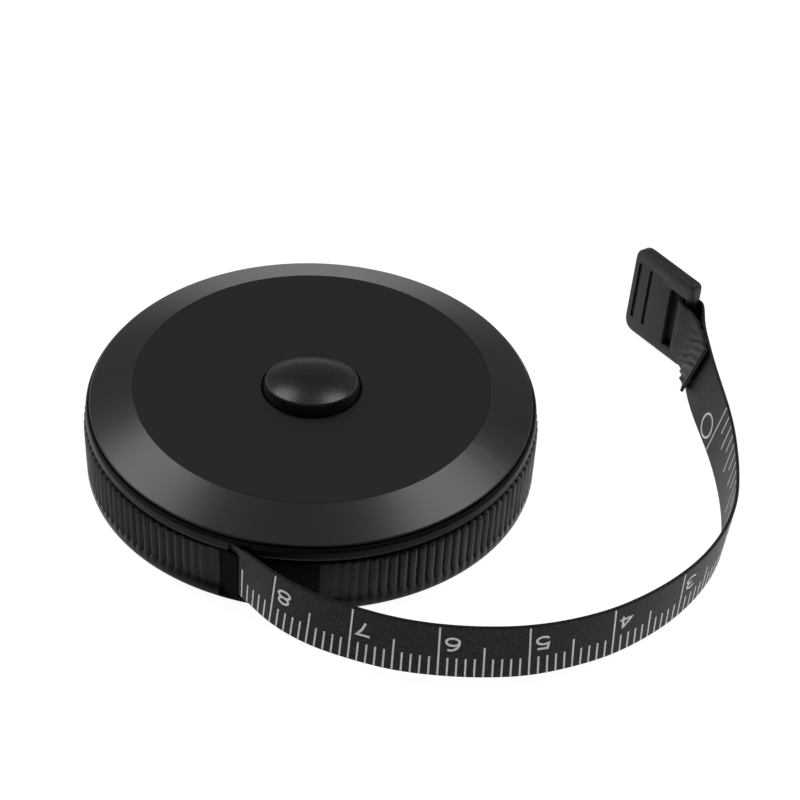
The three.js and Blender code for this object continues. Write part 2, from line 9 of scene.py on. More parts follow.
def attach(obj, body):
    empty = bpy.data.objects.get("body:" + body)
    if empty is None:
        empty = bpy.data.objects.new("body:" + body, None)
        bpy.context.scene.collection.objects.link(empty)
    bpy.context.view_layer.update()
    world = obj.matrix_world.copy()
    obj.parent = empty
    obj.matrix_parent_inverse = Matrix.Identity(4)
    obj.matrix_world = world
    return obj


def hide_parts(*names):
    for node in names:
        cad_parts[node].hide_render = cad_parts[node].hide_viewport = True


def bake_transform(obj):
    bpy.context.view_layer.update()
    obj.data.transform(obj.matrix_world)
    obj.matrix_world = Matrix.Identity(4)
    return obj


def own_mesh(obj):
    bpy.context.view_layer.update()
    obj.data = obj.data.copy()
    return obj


# Looks of a round push-button tape measure: a ribbed black case with a domed button, a soft printed
# tape that stands on edge, and its pull tab. Lengths are millimetres in the part's frame, and meshes
# are in metres.

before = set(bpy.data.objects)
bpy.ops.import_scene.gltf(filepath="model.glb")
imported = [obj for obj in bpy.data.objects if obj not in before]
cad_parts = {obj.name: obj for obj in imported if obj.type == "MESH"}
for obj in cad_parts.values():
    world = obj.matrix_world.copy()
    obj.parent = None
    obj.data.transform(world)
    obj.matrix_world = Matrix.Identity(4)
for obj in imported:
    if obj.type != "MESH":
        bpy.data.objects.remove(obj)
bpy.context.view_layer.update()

MM = 0.001

# Camera
CAMERA_PLACE = (0.0, -457.8, 387.8)
CAMERA_TARGET = (10.384, 11.627, 0.0)
CAMERA_ROLL = math.radians(1.884)
CAMERA_LENS = 233.87
SENSOR_WIDTH = 36.0
CLIP_START = 0.01

# Tape: stations are x, y, z and a lean in degrees, and differ a little from the part's near the mouth
TAPE_WIDTH = 7.0
TAPE_THICKNESS = 0.4
TAPE_EDGE_ROUND = 0.14
TAPE_MIDDLE = 4.7
COIL_INNER = 11.0
COIL_OUTER = 22.0025
COIL_TURNS = 13.5
COIL_STEPS = 90
COIL_GAP = 0.3
EXIT_ANGLE = math.radians(-105.6)
EXIT_RADIUS = 26.0025
TAPE_ROUTE = (
    (-3.6, -28.7, 4.45, -6), (0.4, -31.5, 4.2, -8), (4.8, -33.5, 4.05, -8), (9.5, -35.1, 3.95, -7),
    (14.4, -35.9, 3.85, -5), (19.4, -36.1, 3.8, -4), (24.3, -35.6, 3.7, -3), (29, -34.3, 3.7, 0),
    (33.5, -32.2, 3.6, 2), (37.3, -29.6, 3.6, 4), (40.7, -26.5, 3.6, 6), (43.8, -22.6, 3.6, 8),
    (46.2, -18, 3.6, 9), (47.5, -13.4, 3.6, 10), (47.9, -8.5, 3.6, 11), (47.8, -4, 3.6, 13),
    (47.5, -0.5, 3.7, 15), (46.9, 3.3, 3.9, 17), (46.1, 7, 4.2, 19), (45.4, 10.5, 4.6, 20),
    (45, 13.6, 5, 19), (44.9, 16.8, 5.3, 13),
)
ROUTE_STEPS = 12
LEAD_STEPS = 29
STATION_STEP = 0.2
LINE_SMOOTHING = 1.2

# Loop round the tab's bar, and the tail that is welded back on the tape
TAB_BAR = (44.0, 19.7, 5.3)
TAB_HEADING = math.radians(129.1)
TAB_LEAN = math.radians(7.7)
LOOP_RADIUS = 1.2
LOOP_SLACK = 0.25
LOOP_WRAP = math.radians(192)
LOOP_STEPS = 27
FOLD_OVERLAP = 12
FOLD_SMOOTHING = 0.3
TURN_SMOOTHING = 1.0
TAIL_LENGTH = 7.5
TAIL_CLOSING = 4.5
TAIL_OFFSET = 0.43
TAIL_LIFT = 0.35
TAIL_LIFT_LENGTH = 1.1
WELD_FROM = 0.2
WELD_RISE = 0.7
WELD_TO = 5.4
WELD_FALL = 1.4
WRINKLE_DEPTH = 0.27
WRINKLE_PITCH = 0.95
WRINKLE_SLOPE = math.radians(51)

# Print on the tape: every so many marks have a length of their own
SCALE_ZERO = 84.75
INK_PROUD = 0.012
INK_SUNK = 0.03
PRINT_MARGIN = 0.12
LINE_WEIGHT = 0.21
METRIC_MARKS = 97
METRIC_LENGTHS = ((10, 6.6), (5, 4.1), (1, 2.5))
DIGIT_WEIGHT = 0.28
DIGIT_STEP = 0.25
DIGIT_AHEAD = 1.5
DIGIT_MIDDLE = 1.0
DIGIT_WIDTH = 1.62
DIGIT_HEIGHT = 1.65
ZERO_HEIGHT = 2.0
INCH = 25.4
INCH_PARTS = 16
INCH_MARKS = 60
INCH_LENGTHS = ((16, 6.6), (8, 4.9), (4, 4.2), (2, 3.6), (1, 2.6))
INCH_DIGIT_AHEAD = 2.2
INCH_DIGIT_MIDDLE = -1.5
INCH_DIGIT_WIDTH = 2.7
INCH_DIGIT_HEIGHT = 2.9

# Lower case
WALL_INNER = 24.3025
WALL_TOP = 7.05
WALL_DRAW = 0.22
DRAW_FROM = 2.2
DRAW_TO = 6.3
FLOOR_TOP = 0.9
FOOT_BAND = 0.42
FOOT_CURVE = ((-0.5, 0.0), (-0.24, 0.06), (-0.08, 0.22), (0.0, 0.5))
RIB_COUNT = 138
RIB_SAMPLES = (-0.5, -0.37, -0.25, -0.12, 0.0, 0.12, 0.25, 0.37)
RIB_ROOT = 25.5025
RIB_DEPTH = 0.5
RIB_LEAST = 0.15
RIB_FOOT = 0.9
RIB_FADE = 1.1
RIB_RISE = math.radians(24)
SMOOTH_BEFORE = math.radians(10.4)
SMOOTH_AFTER = math.radians(18.6)
RING_INNER = 8.4
RING_OUTER = 9.2
RING_TOP = 1.5
POST_RADIUS = 2.904
POST_TOP = 5.7
BORE_HALF = 1.7
SLIT_HALF = 0.45
SLIT_REACH = 5.8
SLIT_BOTTOM = 1.35
CUT_TOP = 6.0

# Mouth of the case, and a thin dark lip in front of the tape: a sheet that stands in for the shade on
# the tape just inside the slot
MOUTH_FRONT = 0.32
MOUTH_FRONT_COVER = 0.85
MOUTH_BACK = 0.6
MOUTH_START = 4.9
MOUTH_REACH = 20.0
MOUTH_SPARE = 0.3
MOUTH_TOP = 8.7
SHADE_LIP_RADIUS = 25.2
SHADE_LIP_RISE = 0.6
SHADE_LIP_LENGTH = math.radians(5.2)
SHADE_LIP_START = EXIT_ANGLE - math.radians(7.3)
SHADE_LIP_STEP = math.radians(0.45)
SHADE_LIP_FOOT = 0.7
SHADE_LIP_FOOT_STEP = 0.3

# Cover
COVER_HOLE = 5.95
DECK_BOTTOM = 10.0
DECK_TOP = 10.9
DECK_EDGE = 22.0
BOSS_INNER = 6.55
BOSS_OUTER = 7.2
BOSS_BOTTOM = 8.8
STEP_OUTER = 8.9
STEP_BOTTOM = 9.4
SPIGOT_INNER = 23.2025
SPIGOT_OUTER = 24.0025
SPIGOT_TOP = 9.42
SPIGOT_BOTTOM = 5.9
SKIRT_RADIUS = 25.8025
SKIRT_BOTTOM = 7.25
SKIRT_TOP = 9.15
BEZEL_OUTER = 25.46
BEZEL_BOTTOM = 9.335
BEZEL_INNER = 20.4

# Plate and button
PLATE_HOLE = 5.75
PLATE_RADIUS = 20.37
PLATE_BOTTOM = 10.95
PLATE_TOP = 11.4
BUTTON_RADIUS = 5.6
BUTTON_RIM_RADIUS = 5.3
BUTTON_RIM_HEIGHT = 0.95
BUTTON_DOME = 1.2
BUTTON_SLANT = 0.115
DOME_STEPS = 20
FLANGE_RADIUS = 6.25
FLANGE_BOTTOM = 9.0
FLANGE_TOP = 9.7
STEM_HALF = 1.5
STEM_BOTTOM = 4.4
STEM_TOP = 9.35

# Springs
SPRING_RADIUS = 1.225
SPRING_WIRE_RADIUS = 0.175
SPRING_LOW = 1.125
SPRING_HIGH = 4.175
SPRING_TURNS = 4
SPRING_STEPS = 120
MAINSPRING_INNER = 3.604
MAINSPRING_OUTER = 8.75
MAINSPRING_TURNS = 6.9
MAINSPRING_STEPS = 60
MAINSPRING_BOTTOM = 1.65
MAINSPRING_TOP = 5.35
MAINSPRING_THICKNESS = 0.3
MAINSPRING_END = math.radians(-18)
MAINSPRING_SPLIT = math.radians(-140)
INNER_HOOK = (2.004, 3.054)
OUTER_HOOK = ((9.2, math.radians(-4.5)), (10.1, 0))

# Tab plate, measured from its bar
TAB_THICKNESS = 1.4
TAB_FAR = 9.3
TAB_BOTTOM = -5.05
TAB_TOP = 6.25
TAB_CORNER = 1.6
TAB_NEAR_CORNER = 0.7
TAB_EDGE_ROUND = 0.34
TAB_SLOT_BOTTOM = -3.8
TAB_SLOT_TOP = 3.9
TAB_SLOT_END = 2.9
TAB_SLOT_CORNER = 0.25
TAB_LEDGE = 0.9
TAB_LEDGE_FRONT = 0.25
TAB_LEDGE_BACK = 0.05
TAB_OVERLAP = 0.1
ROD_OVERLAP = 0.4
GROOVE_PLACES = (1.0, 2.9)
GROOVE_HALF = 0.25
GROOVE_DEPTH = 0.3
GROOVE_MARGIN = 1.9

# Weave of the tape, and the stage
WEAVE_ALONG = 0.24
WEAVE_ACROSS = 0.22
FLOOR_REACH = 3000.0
FLOOR_LEVEL = -0.02
FLOOR_TONE = 0.2
FLOOR_GLOW = 0.95
SOFTBOX_DISTANCE = 700
SOFTBOX_SIZE = 280
SOFTBOX_RADIANCE = 5.0


# Small helpers

def unit(vectors):
    return vectors / np.linalg.norm(vectors, axis=-1, keepdims=True)


def polar(radius, angle, z):
    return np.array([radius * math.cos(angle), radius * math.sin(angle), z])


def mesh_object(name, points, faces, sharp=35):
    mesh = bpy.data.meshes.new(name)
    mesh.from_pydata([tuple(float(c) * MM for c in p) for p in points], [], faces)
    mesh.update()
    obj = bpy.data.objects.new(name, mesh)
    bpy.context.scene.collection.objects.link(obj)
    shade(obj, sharp)
    return obj


def shade(obj, sharp=32):
    obj.data.shade_smooth()
    obj.data.set_sharp_from_angle(angle=math.radians(sharp))


def face_outward(obj):
    bm = bmesh.new()
    bm.from_mesh(obj.data)
    bmesh.ops.recalc_face_normals(bm, faces=bm.faces)
    bm.to_mesh(obj.data)
    bm.free()


def bake_modifiers(obj):
    graph = bpy.context.evaluated_depsgraph_get()
    baked = bpy.data.meshes.new_from_object(obj.evaluated_get(graph))
    plain = obj.data
    obj.modifiers.clear()
    obj.data = baked
    bpy.data.meshes.remove(plain)


def combine(obj, tool, operation="DIFFERENCE"):
    modifier = obj.modifiers.new("combine", "BOOLEAN")
    modifier.object = tool
    modifier.operation = operation
    modifier.solver = "EXACT"
    bake_modifiers(obj)
    bpy.data.objects.remove(tool, do_unlink=True)


# Faces between two closed rows of points
def ring_faces(first, second, count):
    faces = []
    for j in range(count):
        k = (j + 1) % count
        faces.append([first + j, first + k, second + k, second + j])
    return faces


def prism(name, outline, bottom, top):
    count = len(outline)
    points = [(x, y, bottom) for x, y in outline] + [(x, y, top) for x, y in outline]
    faces = [list(range(count))[::-1], list(range(count, 2 * count))] + ring_faces(0, count, count)
    obj = mesh_object(name, points, faces)
    face_outward(obj)
    return obj


def box(name, low, high):
    outline = [(low[0], low[1]), (high[0], low[1]), (high[0], high[1]), (low[0], high[1])]
    return prism(name, outline, low[2], high[2])


# Corners of a closed outline eased into short curves, one radius for each corner. A point a little
# beyond each curve keeps the flat side next to it flat in the shading.
def eased(outline, radii, steps=4):
    points = [np.array(p, float) for p in outline]
    done = []
    for i, corner in enumerate(points):
        into, out = points[i - 1] - corner, points[(i + 1) % len(points)] - corner
        room_in, room_out = np.linalg.norm(into), np.linalg.norm(out)
        reach = min(radii[i], 0.45 * room_in, 0.45 * room_out)
        if reach < 1e-6:
            done.append(corner)
            continue
        first, last = corner + reach / room_in * into, corner + reach / room_out * out
        if room_in > 4 * reach:
            done.append(corner + 1.4 * reach / room_in * into)
        for k in range(steps + 1):
            t = k / steps
            done.append((1 - t) ** 2 * first + 2 * t * (1 - t) * corner + t * t * last)
        if room_out > 4 * reach:
            done.append(corner + 1.4 * reach / room_out * out)
    return done


# A closed outline of (radius, height) points, counter-clockwise, turned round the Z axis
def lathe(name, outline, segments):
    points, rows, faces = [], [], []
    for r, z in outline:
        count = 1 if r < 1e-6 else segments
        rows.append([len(points) + j for j in range(count)])
        points += [polar(r, 2 * math.pi * j / segments, z) for j in range(count)]
    for i, row in enumerate(rows):
        after = rows[(i + 1) % len(rows)]
        if len(row) == 1 and len(after) == 1:
            continue
        for j in range(segments):
            k = (j + 1) % segments
            corners = [ring[m % len(ring)] for ring, m in ((row, j), (row, k), (after, k), (after, j))]
            faces.append(list(dict.fromkeys(corners)))
    return mesh_object(name, points, faces)


# Strips that follow a line

def smoothed(points, sigma):
    reach = int(3 * sigma) + 1
    kernel = np.exp(-0.5 * (np.arange(-reach, reach + 1) / sigma) ** 2)
    kernel /= kernel.sum()
    head = 2 * points[0] - points[reach:0:-1]
    tail = 2 * points[-1] - points[-2:-reach - 2:-1]
    padded = np.concatenate([head, points, tail])
    return np.stack([np.convolve(padded[:, k], kernel, "valid") for k in range(points.shape[1])], 1)


def resampled(points, step):
    lengths = np.concatenate([[0], np.cumsum(np.linalg.norm(np.diff(points[:, :3], axis=0), axis=1))])
    count = max(2, int(round(lengths[-1] / step)) + 1)
    places = np.linspace(0, lengths[-1], count)
    return np.stack([np.interp(places, lengths, points[:, k]) for k in range(points.shape[1])], 1)


# Centripetal spline through the knots, with any further columns carried along straight
def spline(knots, steps):
    knots = np.array(knots, float)
    ends = np.concatenate([[2 * knots[0] - knots[1]], knots, [2 * knots[-1] - knots[-2]]])
    done = []
    for i in range(len(knots) - 1):
        p0, p1, p2, p3 = ends[i:i + 4]
        d0, d1, d2 = (math.sqrt(np.linalg.norm((b - a)[:3])) for a, b in ((p0, p1), (p1, p2), (p2, p3)))
        t1 = ((p1 - p0) / d0 - (p2 - p0) / (d0 + d1) + (p2 - p1) / d1) * d1
        t2 = ((p2 - p1) / d1 - (p3 - p1) / (d1 + d2) + (p3 - p2) / d2) * d1
        square, cube = 3 * (p2 - p1) - 2 * t1 - t2, 2 * (p1 - p2) + t1 + t2
        for k in range(steps):
            t = k / steps
            point = p1 + t1 * t + square * t ** 2 + cube * t ** 3
            point[3:] = p1[3:] + (p2 - p1)[3:] * t
            done.append(point)
    done.append(knots[-1])
    return np.array(done)


# Points along a strip's middle with the unit vectors along it, across it and out of its face
class Line:
    def __init__(self, points, across, start):
        self.points = points
        self.along = unit(np.gradient(points, axis=0))
        flat = across - (across * self.along).sum(1, keepdims=True) * self.along
        self.across = unit(flat)
        self.facing = np.cross(self.along, self.across)
        steps = np.linalg.norm(np.diff(points, axis=0), axis=1)
        self.s = np.concatenate([[0], np.cumsum(steps)]) - start

    def at(self, s, w, h):
        columns = [np.stack([np.interp(s, self.s, a[:, k]) for k in range(3)])
                   for a in (self.points, self.across, self.facing)]
        return columns[0] + w * columns[1] + h * columns[2]


# Section of a strip, (across, out of the face) points with rounded edges
def section(width, thickness, edge, edge_steps, face_steps):
    inner_w, inner_h = width / 2 - edge, thickness / 2 - edge
    points = []
    for sw, sh, first in ((-1, -1, 270), (-1, 1, 180), (1, 1, 90), (1, -1, 0)):
        for k in range(edge_steps + 1):
            angle = math.radians(first - 90 * k / edge_steps)
            x, y, _ = polar(edge, angle, 0.0)
            points.append((sw * inner_w + x, sh * inner_h + y))
        if sw == sh:
            continue
        side = points[-1][1]
        toward = inner_w if sw < 0 else -inner_w
        for k in range(1, face_steps):
            points.append((-toward + 2 * toward * k / face_steps, side))
    return points


# A closed strip of the given section along the line; its faces may be raised by a height for each point
def strip(name, line, outline, raised=None):
    count = len(outline)
    w = np.array([p[0] for p in outline])
    h = np.array([p[1] for p in outline])
    height = h[None, :] + (0.0 if raised is None else raised(line, w))
    rows = (line.points[:, None] + w[None, :, None] * line.across[:, None]
            + height[:, :, None] * line.facing[:, None])
    faces = [list(range(count))]
    for i in range(len(rows) - 1):
        for k in range(count):
            a, b = count * i + k, count * i + (k + 1) % count
            faces.append([a, a + count, b + count, b])
    last = count * (len(rows) - 1)
    faces.append([last + k for k in range(count)][::-1])
    obj = mesh_object(name, rows.reshape(-1, 3), faces, 40)
    places = np.stack([np.repeat(line.s, count), np.tile(w, len(rows)), np.tile(h, len(rows))], 1)
    set_places(obj, places)
    return obj


# Where each point lies on the flat tape: along it, across it and out of it, in millimetres
def set_places(obj, places):
    attribute = obj.data.attributes.new("tape_place", "FLOAT_VECTOR", "POINT")
    attribute.data.foreach_set("vector", np.asarray(places, np.float32).ravel())


# Camera

def make_camera():
    place = Vector(CAMERA_PLACE)
    forward = (Vector(CAMERA_TARGET) - place).normalized()
    right = forward.cross(Vector((0, 0, 1))).normalized()
    up = right.cross(forward)
    tilted_right = math.cos(CAMERA_ROLL) * right + math.sin(CAMERA_ROLL) * up
    tilted_up = math.cos(CAMERA_ROLL) * up - math.sin(CAMERA_ROLL) * right
    data = bpy.data.cameras.new("camera")
    data.lens = CAMERA_LENS
    data.sensor_width = SENSOR_WIDTH
    data.clip_start = CLIP_START
    camera = bpy.data.objects.new("camera", data)
    turn = Matrix((tilted_right, tilted_up, -forward)).transposed().to_4x4()
    camera.matrix_world = Matrix.Translation(place * MM) @ turn
    bpy.context.scene.collection.objects.link(camera)
    bpy.context.scene.camera = camera


# Tape

def tab_axes():
    along = np.array([math.cos(TAB_HEADING), math.sin(TAB_HEADING), 0.0])
    outward = np.array([along[1], -along[0], 0.0])
    axis = math.cos(TAB_LEAN) * np.array([0.0, 0.0, 1.0]) + math.sin(TAB_LEAN) * outward
    return along, np.cross(along, axis), axis


def lean_vectors(points, leans):
    along = unit(np.gradient(points, axis=0))
    outward = unit(np.stack([along[:, 1], -along[:, 0], np.zeros(len(along))], 1))
    up = unit(np.cross(outward, along))
    angles = np.radians(leans)[:, None]
    return np.cos(angles) * up + np.sin(angles) * outward


def leave_angle():
    return EXIT_ANGLE - math.acos(COIL_OUTER / EXIT_RADIUS)


def leave_point():
    return polar(COIL_OUTER, leave_angle(), TAPE_MIDDLE)


def mouth_point():
    return polar(EXIT_RADIUS, EXIT_ANGLE, TAPE_MIDDLE)


# A point of the loop round the tab's bar, with a little slack in the slot
def on_loop(angle):
    along, back, _ = tab_axes()
    round_bar = LOOP_RADIUS * (math.cos(angle) * along + math.sin(angle) * back)
    return np.array(TAB_BAR) + round_bar + LOOP_SLACK * max(0.0, math.cos(angle)) ** 2 * along


# Points from the coil through the mouth to the bar, and the direction across the tape at each
def tape_run(loop_angle):
    leave, mouth = leave_point(), mouth_point()
    shares = np.linspace(0, 1, LEAD_STEPS + 1)[:-1]
    lead = np.array([(*(leave + (mouth - leave) * t), 0.0) for t in shares])
    knots = [(*mouth, 0.0), *TAPE_ROUTE, (*on_loop(loop_angle), TAPE_ROUTE[-1][3])]
    run = resampled(np.concatenate([lead, spline(knots, ROUTE_STEPS)]), STATION_STEP)
    run = smoothed(run, LINE_SMOOTHING / STATION_STEP)
    return run[:, :3], lean_vectors(run[:, :3], run[:, 3])


# The tail follows the run back from the loop's end, and closes in on it to the weld
def tape_tail(run, run_across, loop_end):
    facing = np.cross(unit(np.gradient(run, axis=0)), run_across)
    distance = np.linalg.norm(run - np.array(TAB_BAR), axis=1)
    index = max(i for i in range(len(run)) if distance[i] > 2 * LOOP_RADIUS)
    tail, across = [], []
    gone = 0.0
    while index > 0 and gone <= TAIL_LENGTH:
        gone = np.linalg.norm(run[index] - loop_end)
        closing = min(gone / TAIL_CLOSING, 1.0)
        closing = closing * closing * (3 - 2 * closing)
        offset = 2 * LOOP_RADIUS + (TAIL_OFFSET - 2 * LOOP_RADIUS) * closing
        tail.append(run[index] - offset * facing[index])
        across.append(run_across[index])
        index -= 1
    return np.array(tail), np.array(across)


# The whole line of the tape: the run, the loop and the tail, whose end lifts a little
def tape_line():
    along, back, axis = tab_axes()
    to_bar = np.array(TAB_BAR) - np.array(TAPE_ROUTE[-1][:3])
    first = math.atan2(to_bar @ back, to_bar @ along) + math.pi / 2
    run, run_across = tape_run(first)
    loop = np.array([on_loop(a) for a in first - np.linspace(0, LOOP_WRAP, LOOP_STEPS + 1)[1:]])
    tail, tail_across = tape_tail(run, run_across, loop[-1])
    fold = np.concatenate([run[-FOLD_OVERLAP:], loop, tail])
    loop_across = np.tile(axis, (len(loop), 1))
    fold_across = np.concatenate([run_across[-FOLD_OVERLAP:], loop_across, tail_across])
    fold = resampled(np.concatenate([fold, fold_across], 1), STATION_STEP / 2)
    fold[:, :3] = smoothed(fold[:, :3], 2 * FOLD_SMOOTHING / STATION_STEP)
    fold[:, 3:] = smoothed(fold[:, 3:], 2 * TURN_SMOOTHING / STATION_STEP)
    points = np.concatenate([run[:-FOLD_OVERLAP], fold[:, :3]])
    across = np.concatenate([run_across[:-FOLD_OVERLAP], fold[:, 3:]])
    lead_length = np.linalg.norm(mouth_point() - leave_point())
    line = Line(points, across, lead_length)
    lift = TAIL_LIFT * np.clip(1 - (line.s[-1] - line.s) / TAIL_LIFT_LENGTH, 0, 1) ** 2
    return Line(points + lift[:, None] * line.facing, across, lead_length)


# Puckers of the welded tail, slanting over it: high where the weld has gathered the cloth
def puckers(line, w):
    rest, w = np.meshgrid(line.s[-1] - line.s, w, indexing="ij")
    phase = (math.cos(WRINKLE_SLOPE) * rest + math.sin(WRINKLE_SLOPE) * w) / WRINKLE_PITCH
    phase = phase + 0.1 * np.sin(1.7 * rest + 0.6) + 0.06 * np.sin(1.9 * w - 0.8 * rest)
    ridge = (0.5 - 0.5 * np.cos(2 * math.pi * phase)) ** 1.3
    uneven = 0.7 + 0.3 * np.sin(2.3 * w + 1.3 * rest)
    weld = np.clip((rest - WELD_FROM) / WELD_RISE, 0, 1) * np.clip((WELD_TO - rest) / WELD_FALL, 0, 1)
    return WRINKLE_DEPTH * weld * uneven * ridge


def make_tape(line):
    outline = section(TAPE_WIDTH, TAPE_THICKNESS, TAPE_EDGE_ROUND, 3, 32)
    tape = strip("tape_strip", line, outline, raised=puckers)
    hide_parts("tape")
    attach(tape, "tape_body")
    return tape


# Digits as strokes in a unit box, x to the right and y up
def arc(cx, cy, rx, ry, first, last, steps=10):
    angles = [math.radians(first + (last - first) * k / steps) for k in range(steps + 1)]
    return [(cx + rx * math.cos(a), cy + ry * math.sin(a)) for a in angles]


DIGITS = {
    "0": [(arc(0.5, 0.5, 0.5, 0.5, 0, 360, 24)[:-1], True)],
    "1": [([(0.2, 0.78), (0.55, 1), (0.55, 0)], False)],
    "2": [(arc(0.5, 0.72, 0.45, 0.28, 165, -25) + [(0.05, 0), (0.97, 0)], False)],
    "3": [(arc(0.48, 0.75, 0.42, 0.25, 150, -90) + arc(0.48, 0.25, 0.48, 0.25, 90, -155)[1:], False)],
    "4": [([(0.74, 0), (0.74, 1), (0.02, 0.28), (1, 0.28)], False)],
    "5": [([(0.9, 1), (0.2, 1), (0.13, 0.55)] + arc(0.48, 0.32, 0.47, 0.32, 125, -145), False)],
    "6": [(arc(0.5, 0.3, 0.46, 0.3, 0, 360, 18)[:-1], True),
          (arc(0.66, 0.3, 0.62, 0.7, 72, 180, 8), False)],
    "7": [([(0.03, 1), (0.97, 1), (0.62, 0.55), (0.4, 0)], False)],
    "8": [(arc(0.5, 0.75, 0.4, 0.25, 0, 360, 16)[:-1], True),
          (arc(0.5, 0.26, 0.48, 0.26, 0, 360, 18)[:-1], True)],
    "9": [(arc(0.5, 0.7, 0.46, 0.3, 0, 360, 18)[:-1], True),
          (arc(0.34, 0.7, 0.62, 0.7, 252, 360, 8), False)],
}


# One printed stroke on a face of the tape: a thin closed slab along (s, w) points
def stroke(line, path, weight, side, closed, points, faces, places):
    path = [np.array(p, float) for p in path]
    fine = []
    pairs = list(zip(path, path[1:] + path[:1])) if closed else list(zip(path, path[1:]))
    for a, b in pairs:
        parts = max(1, int(math.ceil(np.linalg.norm(b - a) / DIGIT_STEP)))
        fine += [a + (b - a) * k / parts for k in range(parts)]
    if not closed:
        fine.append(path[-1])
    count = len(fine)
    first = len(points)
    low, high = side * (TAPE_THICKNESS / 2 - INK_SUNK), side * (TAPE_THICKNESS / 2 + INK_PROUD)
    for i, p in enumerate(fine):
        before = fine[i - 1] if closed or i else fine[0]
        after = fine[(i + 1) % count] if closed or i < count - 1 else fine[-1]
        into = unit(p - before) if np.linalg.norm(p - before) > 1e-9 else unit(after - p)
        out = unit(after - p) if np.linalg.norm(after - p) > 1e-9 else into
        left_in, left_out = np.array([-into[1], into[0]]), np.array([-out[1], out[0]])
        miter = unit(left_in + left_out)
        reach = weight / 2 / max(0.5, miter @ left_in)
        for sign, h in ((1, high), (-1, high), (-1, low), (1, low)):
            s, w = p + sign * reach * miter
            points.append(line.at(s, w, h))
            places.append((s, w, h))
    for i in range(count if closed else count - 1):
        a, b = first + 4 * i, first + 4 * ((i + 1) % count)
        faces.extend(ring_faces(a, b, 4))
    if not closed:
        last = first + 4 * (count - 1)
        faces.append([first + k for k in range(4)])
        faces.append([last + k for k in range(4)][::-1])


def print_object(name, line, strokes, side):
    points, faces, places = [], [], []
    for path, weight, closed in strokes:
        stroke(line, path, weight, side, closed, points, faces, places)
    obj = mesh_object(name, points, faces, 30)
    face_outward(obj)
    set_places(obj, places)
    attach(obj, "tape_body")
    return obj


def digit_strokes(text, s_middle, w_middle, width, height, flip):
    done = []
    for path, closed in DIGITS[text]:
        placed = [(s_middle - (x - 0.5) * width, w_middle + flip * (y - 0.5) * height) for x, y in path]
        done.append((placed, DIGIT_WEIGHT, closed))
    return done


def mark_stroke(mark, lengths, s, edge):
    length = next(length for step, length in lengths if mark % step == 0)
    return [(s, edge), (s, edge - math.copysign(length, edge))], LINE_WEIGHT, False


def make_prints(line):
    edge = TAPE_WIDTH / 2 - PRINT_MARGIN
    metric, inch = [], []
    for mark in range(METRIC_MARKS):
        s = SCALE_ZERO - mark
        metric.append(mark_stroke(mark, METRIC_LENGTHS, s, -edge))
        if mark % 10 == 0:
            height = DIGIT_HEIGHT if mark else ZERO_HEIGHT
            metric += digit_strokes(str(mark // 10), s + DIGIT_AHEAD, DIGIT_MIDDLE,
                                    DIGIT_WIDTH, height, -1)
    for mark in range(INCH_MARKS):
        s = SCALE_ZERO - INCH * mark / INCH_PARTS
        inch.append(mark_stroke(mark, INCH_LENGTHS, s, edge))
        if mark % INCH_PARTS == 0:
            inch += digit_strokes(str(mark // INCH_PARTS), s + INCH_DIGIT_AHEAD, INCH_DIGIT_MIDDLE,
                                  INCH_DIGIT_WIDTH, INCH_DIGIT_HEIGHT, 1)
    return [print_object("tape_print_metric", line, metric, 1),
            print_object("tape_print_inch", line, inch, -1)]


def make_coil():
    end_angle = leave_angle() - COIL_GAP / COIL_OUTER
    share = np.linspace(0, 1, int(COIL_TURNS * COIL_STEPS) + 1)
    angle = end_angle - 2 * math.pi * COIL_TURNS * (1 - share)
    radius = COIL_INNER + (COIL_OUTER - COIL_INNER) * share
    height = np.full(len(share), TAPE_MIDDLE)
    points = np.stack([radius * np.cos(angle), radius * np.sin(angle), height], 1)
    line = Line(points, np.tile([0.0, 0.0, 1.0], (len(points), 1)), 0.0)
    coil = strip("tape_winding", line, section(TAPE_WIDTH, TAPE_THICKNESS, TAPE_EDGE_ROUND, 2, 3))
    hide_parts("tape_coil")
    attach(coil, "spool_body")
    return coil


# Case

# Height of the rounded ribs, which end beside the mouth and grow to their full depth away from it
def rib_height(angle):
    pitch = 2 * math.pi / RIB_COUNT
    number = round((angle + math.pi) / pitch)
    past = number * pitch - math.pi - EXIT_ANGLE
    if -SMOOTH_BEFORE < past < SMOOTH_AFTER:
        return 0.0
    off = abs((angle + math.pi) / pitch - number) / 0.5
    beyond = max(past - SMOOTH_AFTER, -SMOOTH_BEFORE - past) / RIB_RISE
    depth = RIB_DEPTH * (RIB_LEAST + (1 - RIB_LEAST) * min(beyond, 1.0))
    return depth * (0.3 * (1 - off) + 0.7 * (1 - off * off))


# How far the wall draws in between its upper edge and the band at its foot
def wall_draw(z):
    return WALL_DRAW * (max(0.0, DRAW_TO - max(z, DRAW_FROM)) / (DRAW_TO - DRAW_FROM)) ** 1.2


# Radius of the thin lip in front of the tape, a dark sheet standing in for shade on the tape inside the
# slot, which starts a step back from the wall
def shade_lip_radius(angle):
    return SHADE_LIP_RADIUS + SHADE_LIP_RISE * min(max((angle - SHADE_LIP_START) / SHADE_LIP_LENGTH, 0.0), 1.0)


# One on the lip, nought elsewhere
def shade_lip_share(angle, z):
    past = min(max((angle - SHADE_LIP_START) / SHADE_LIP_STEP, 0.0), 1.0)
    before = min(max((EXIT_ANGLE + SHADE_LIP_STEP - angle) / SHADE_LIP_STEP, 0.0), 1.0)
    above = min(max((z - SHADE_LIP_FOOT) / SHADE_LIP_FOOT_STEP, 0.0), 1.0)
    return min(past, before) * above


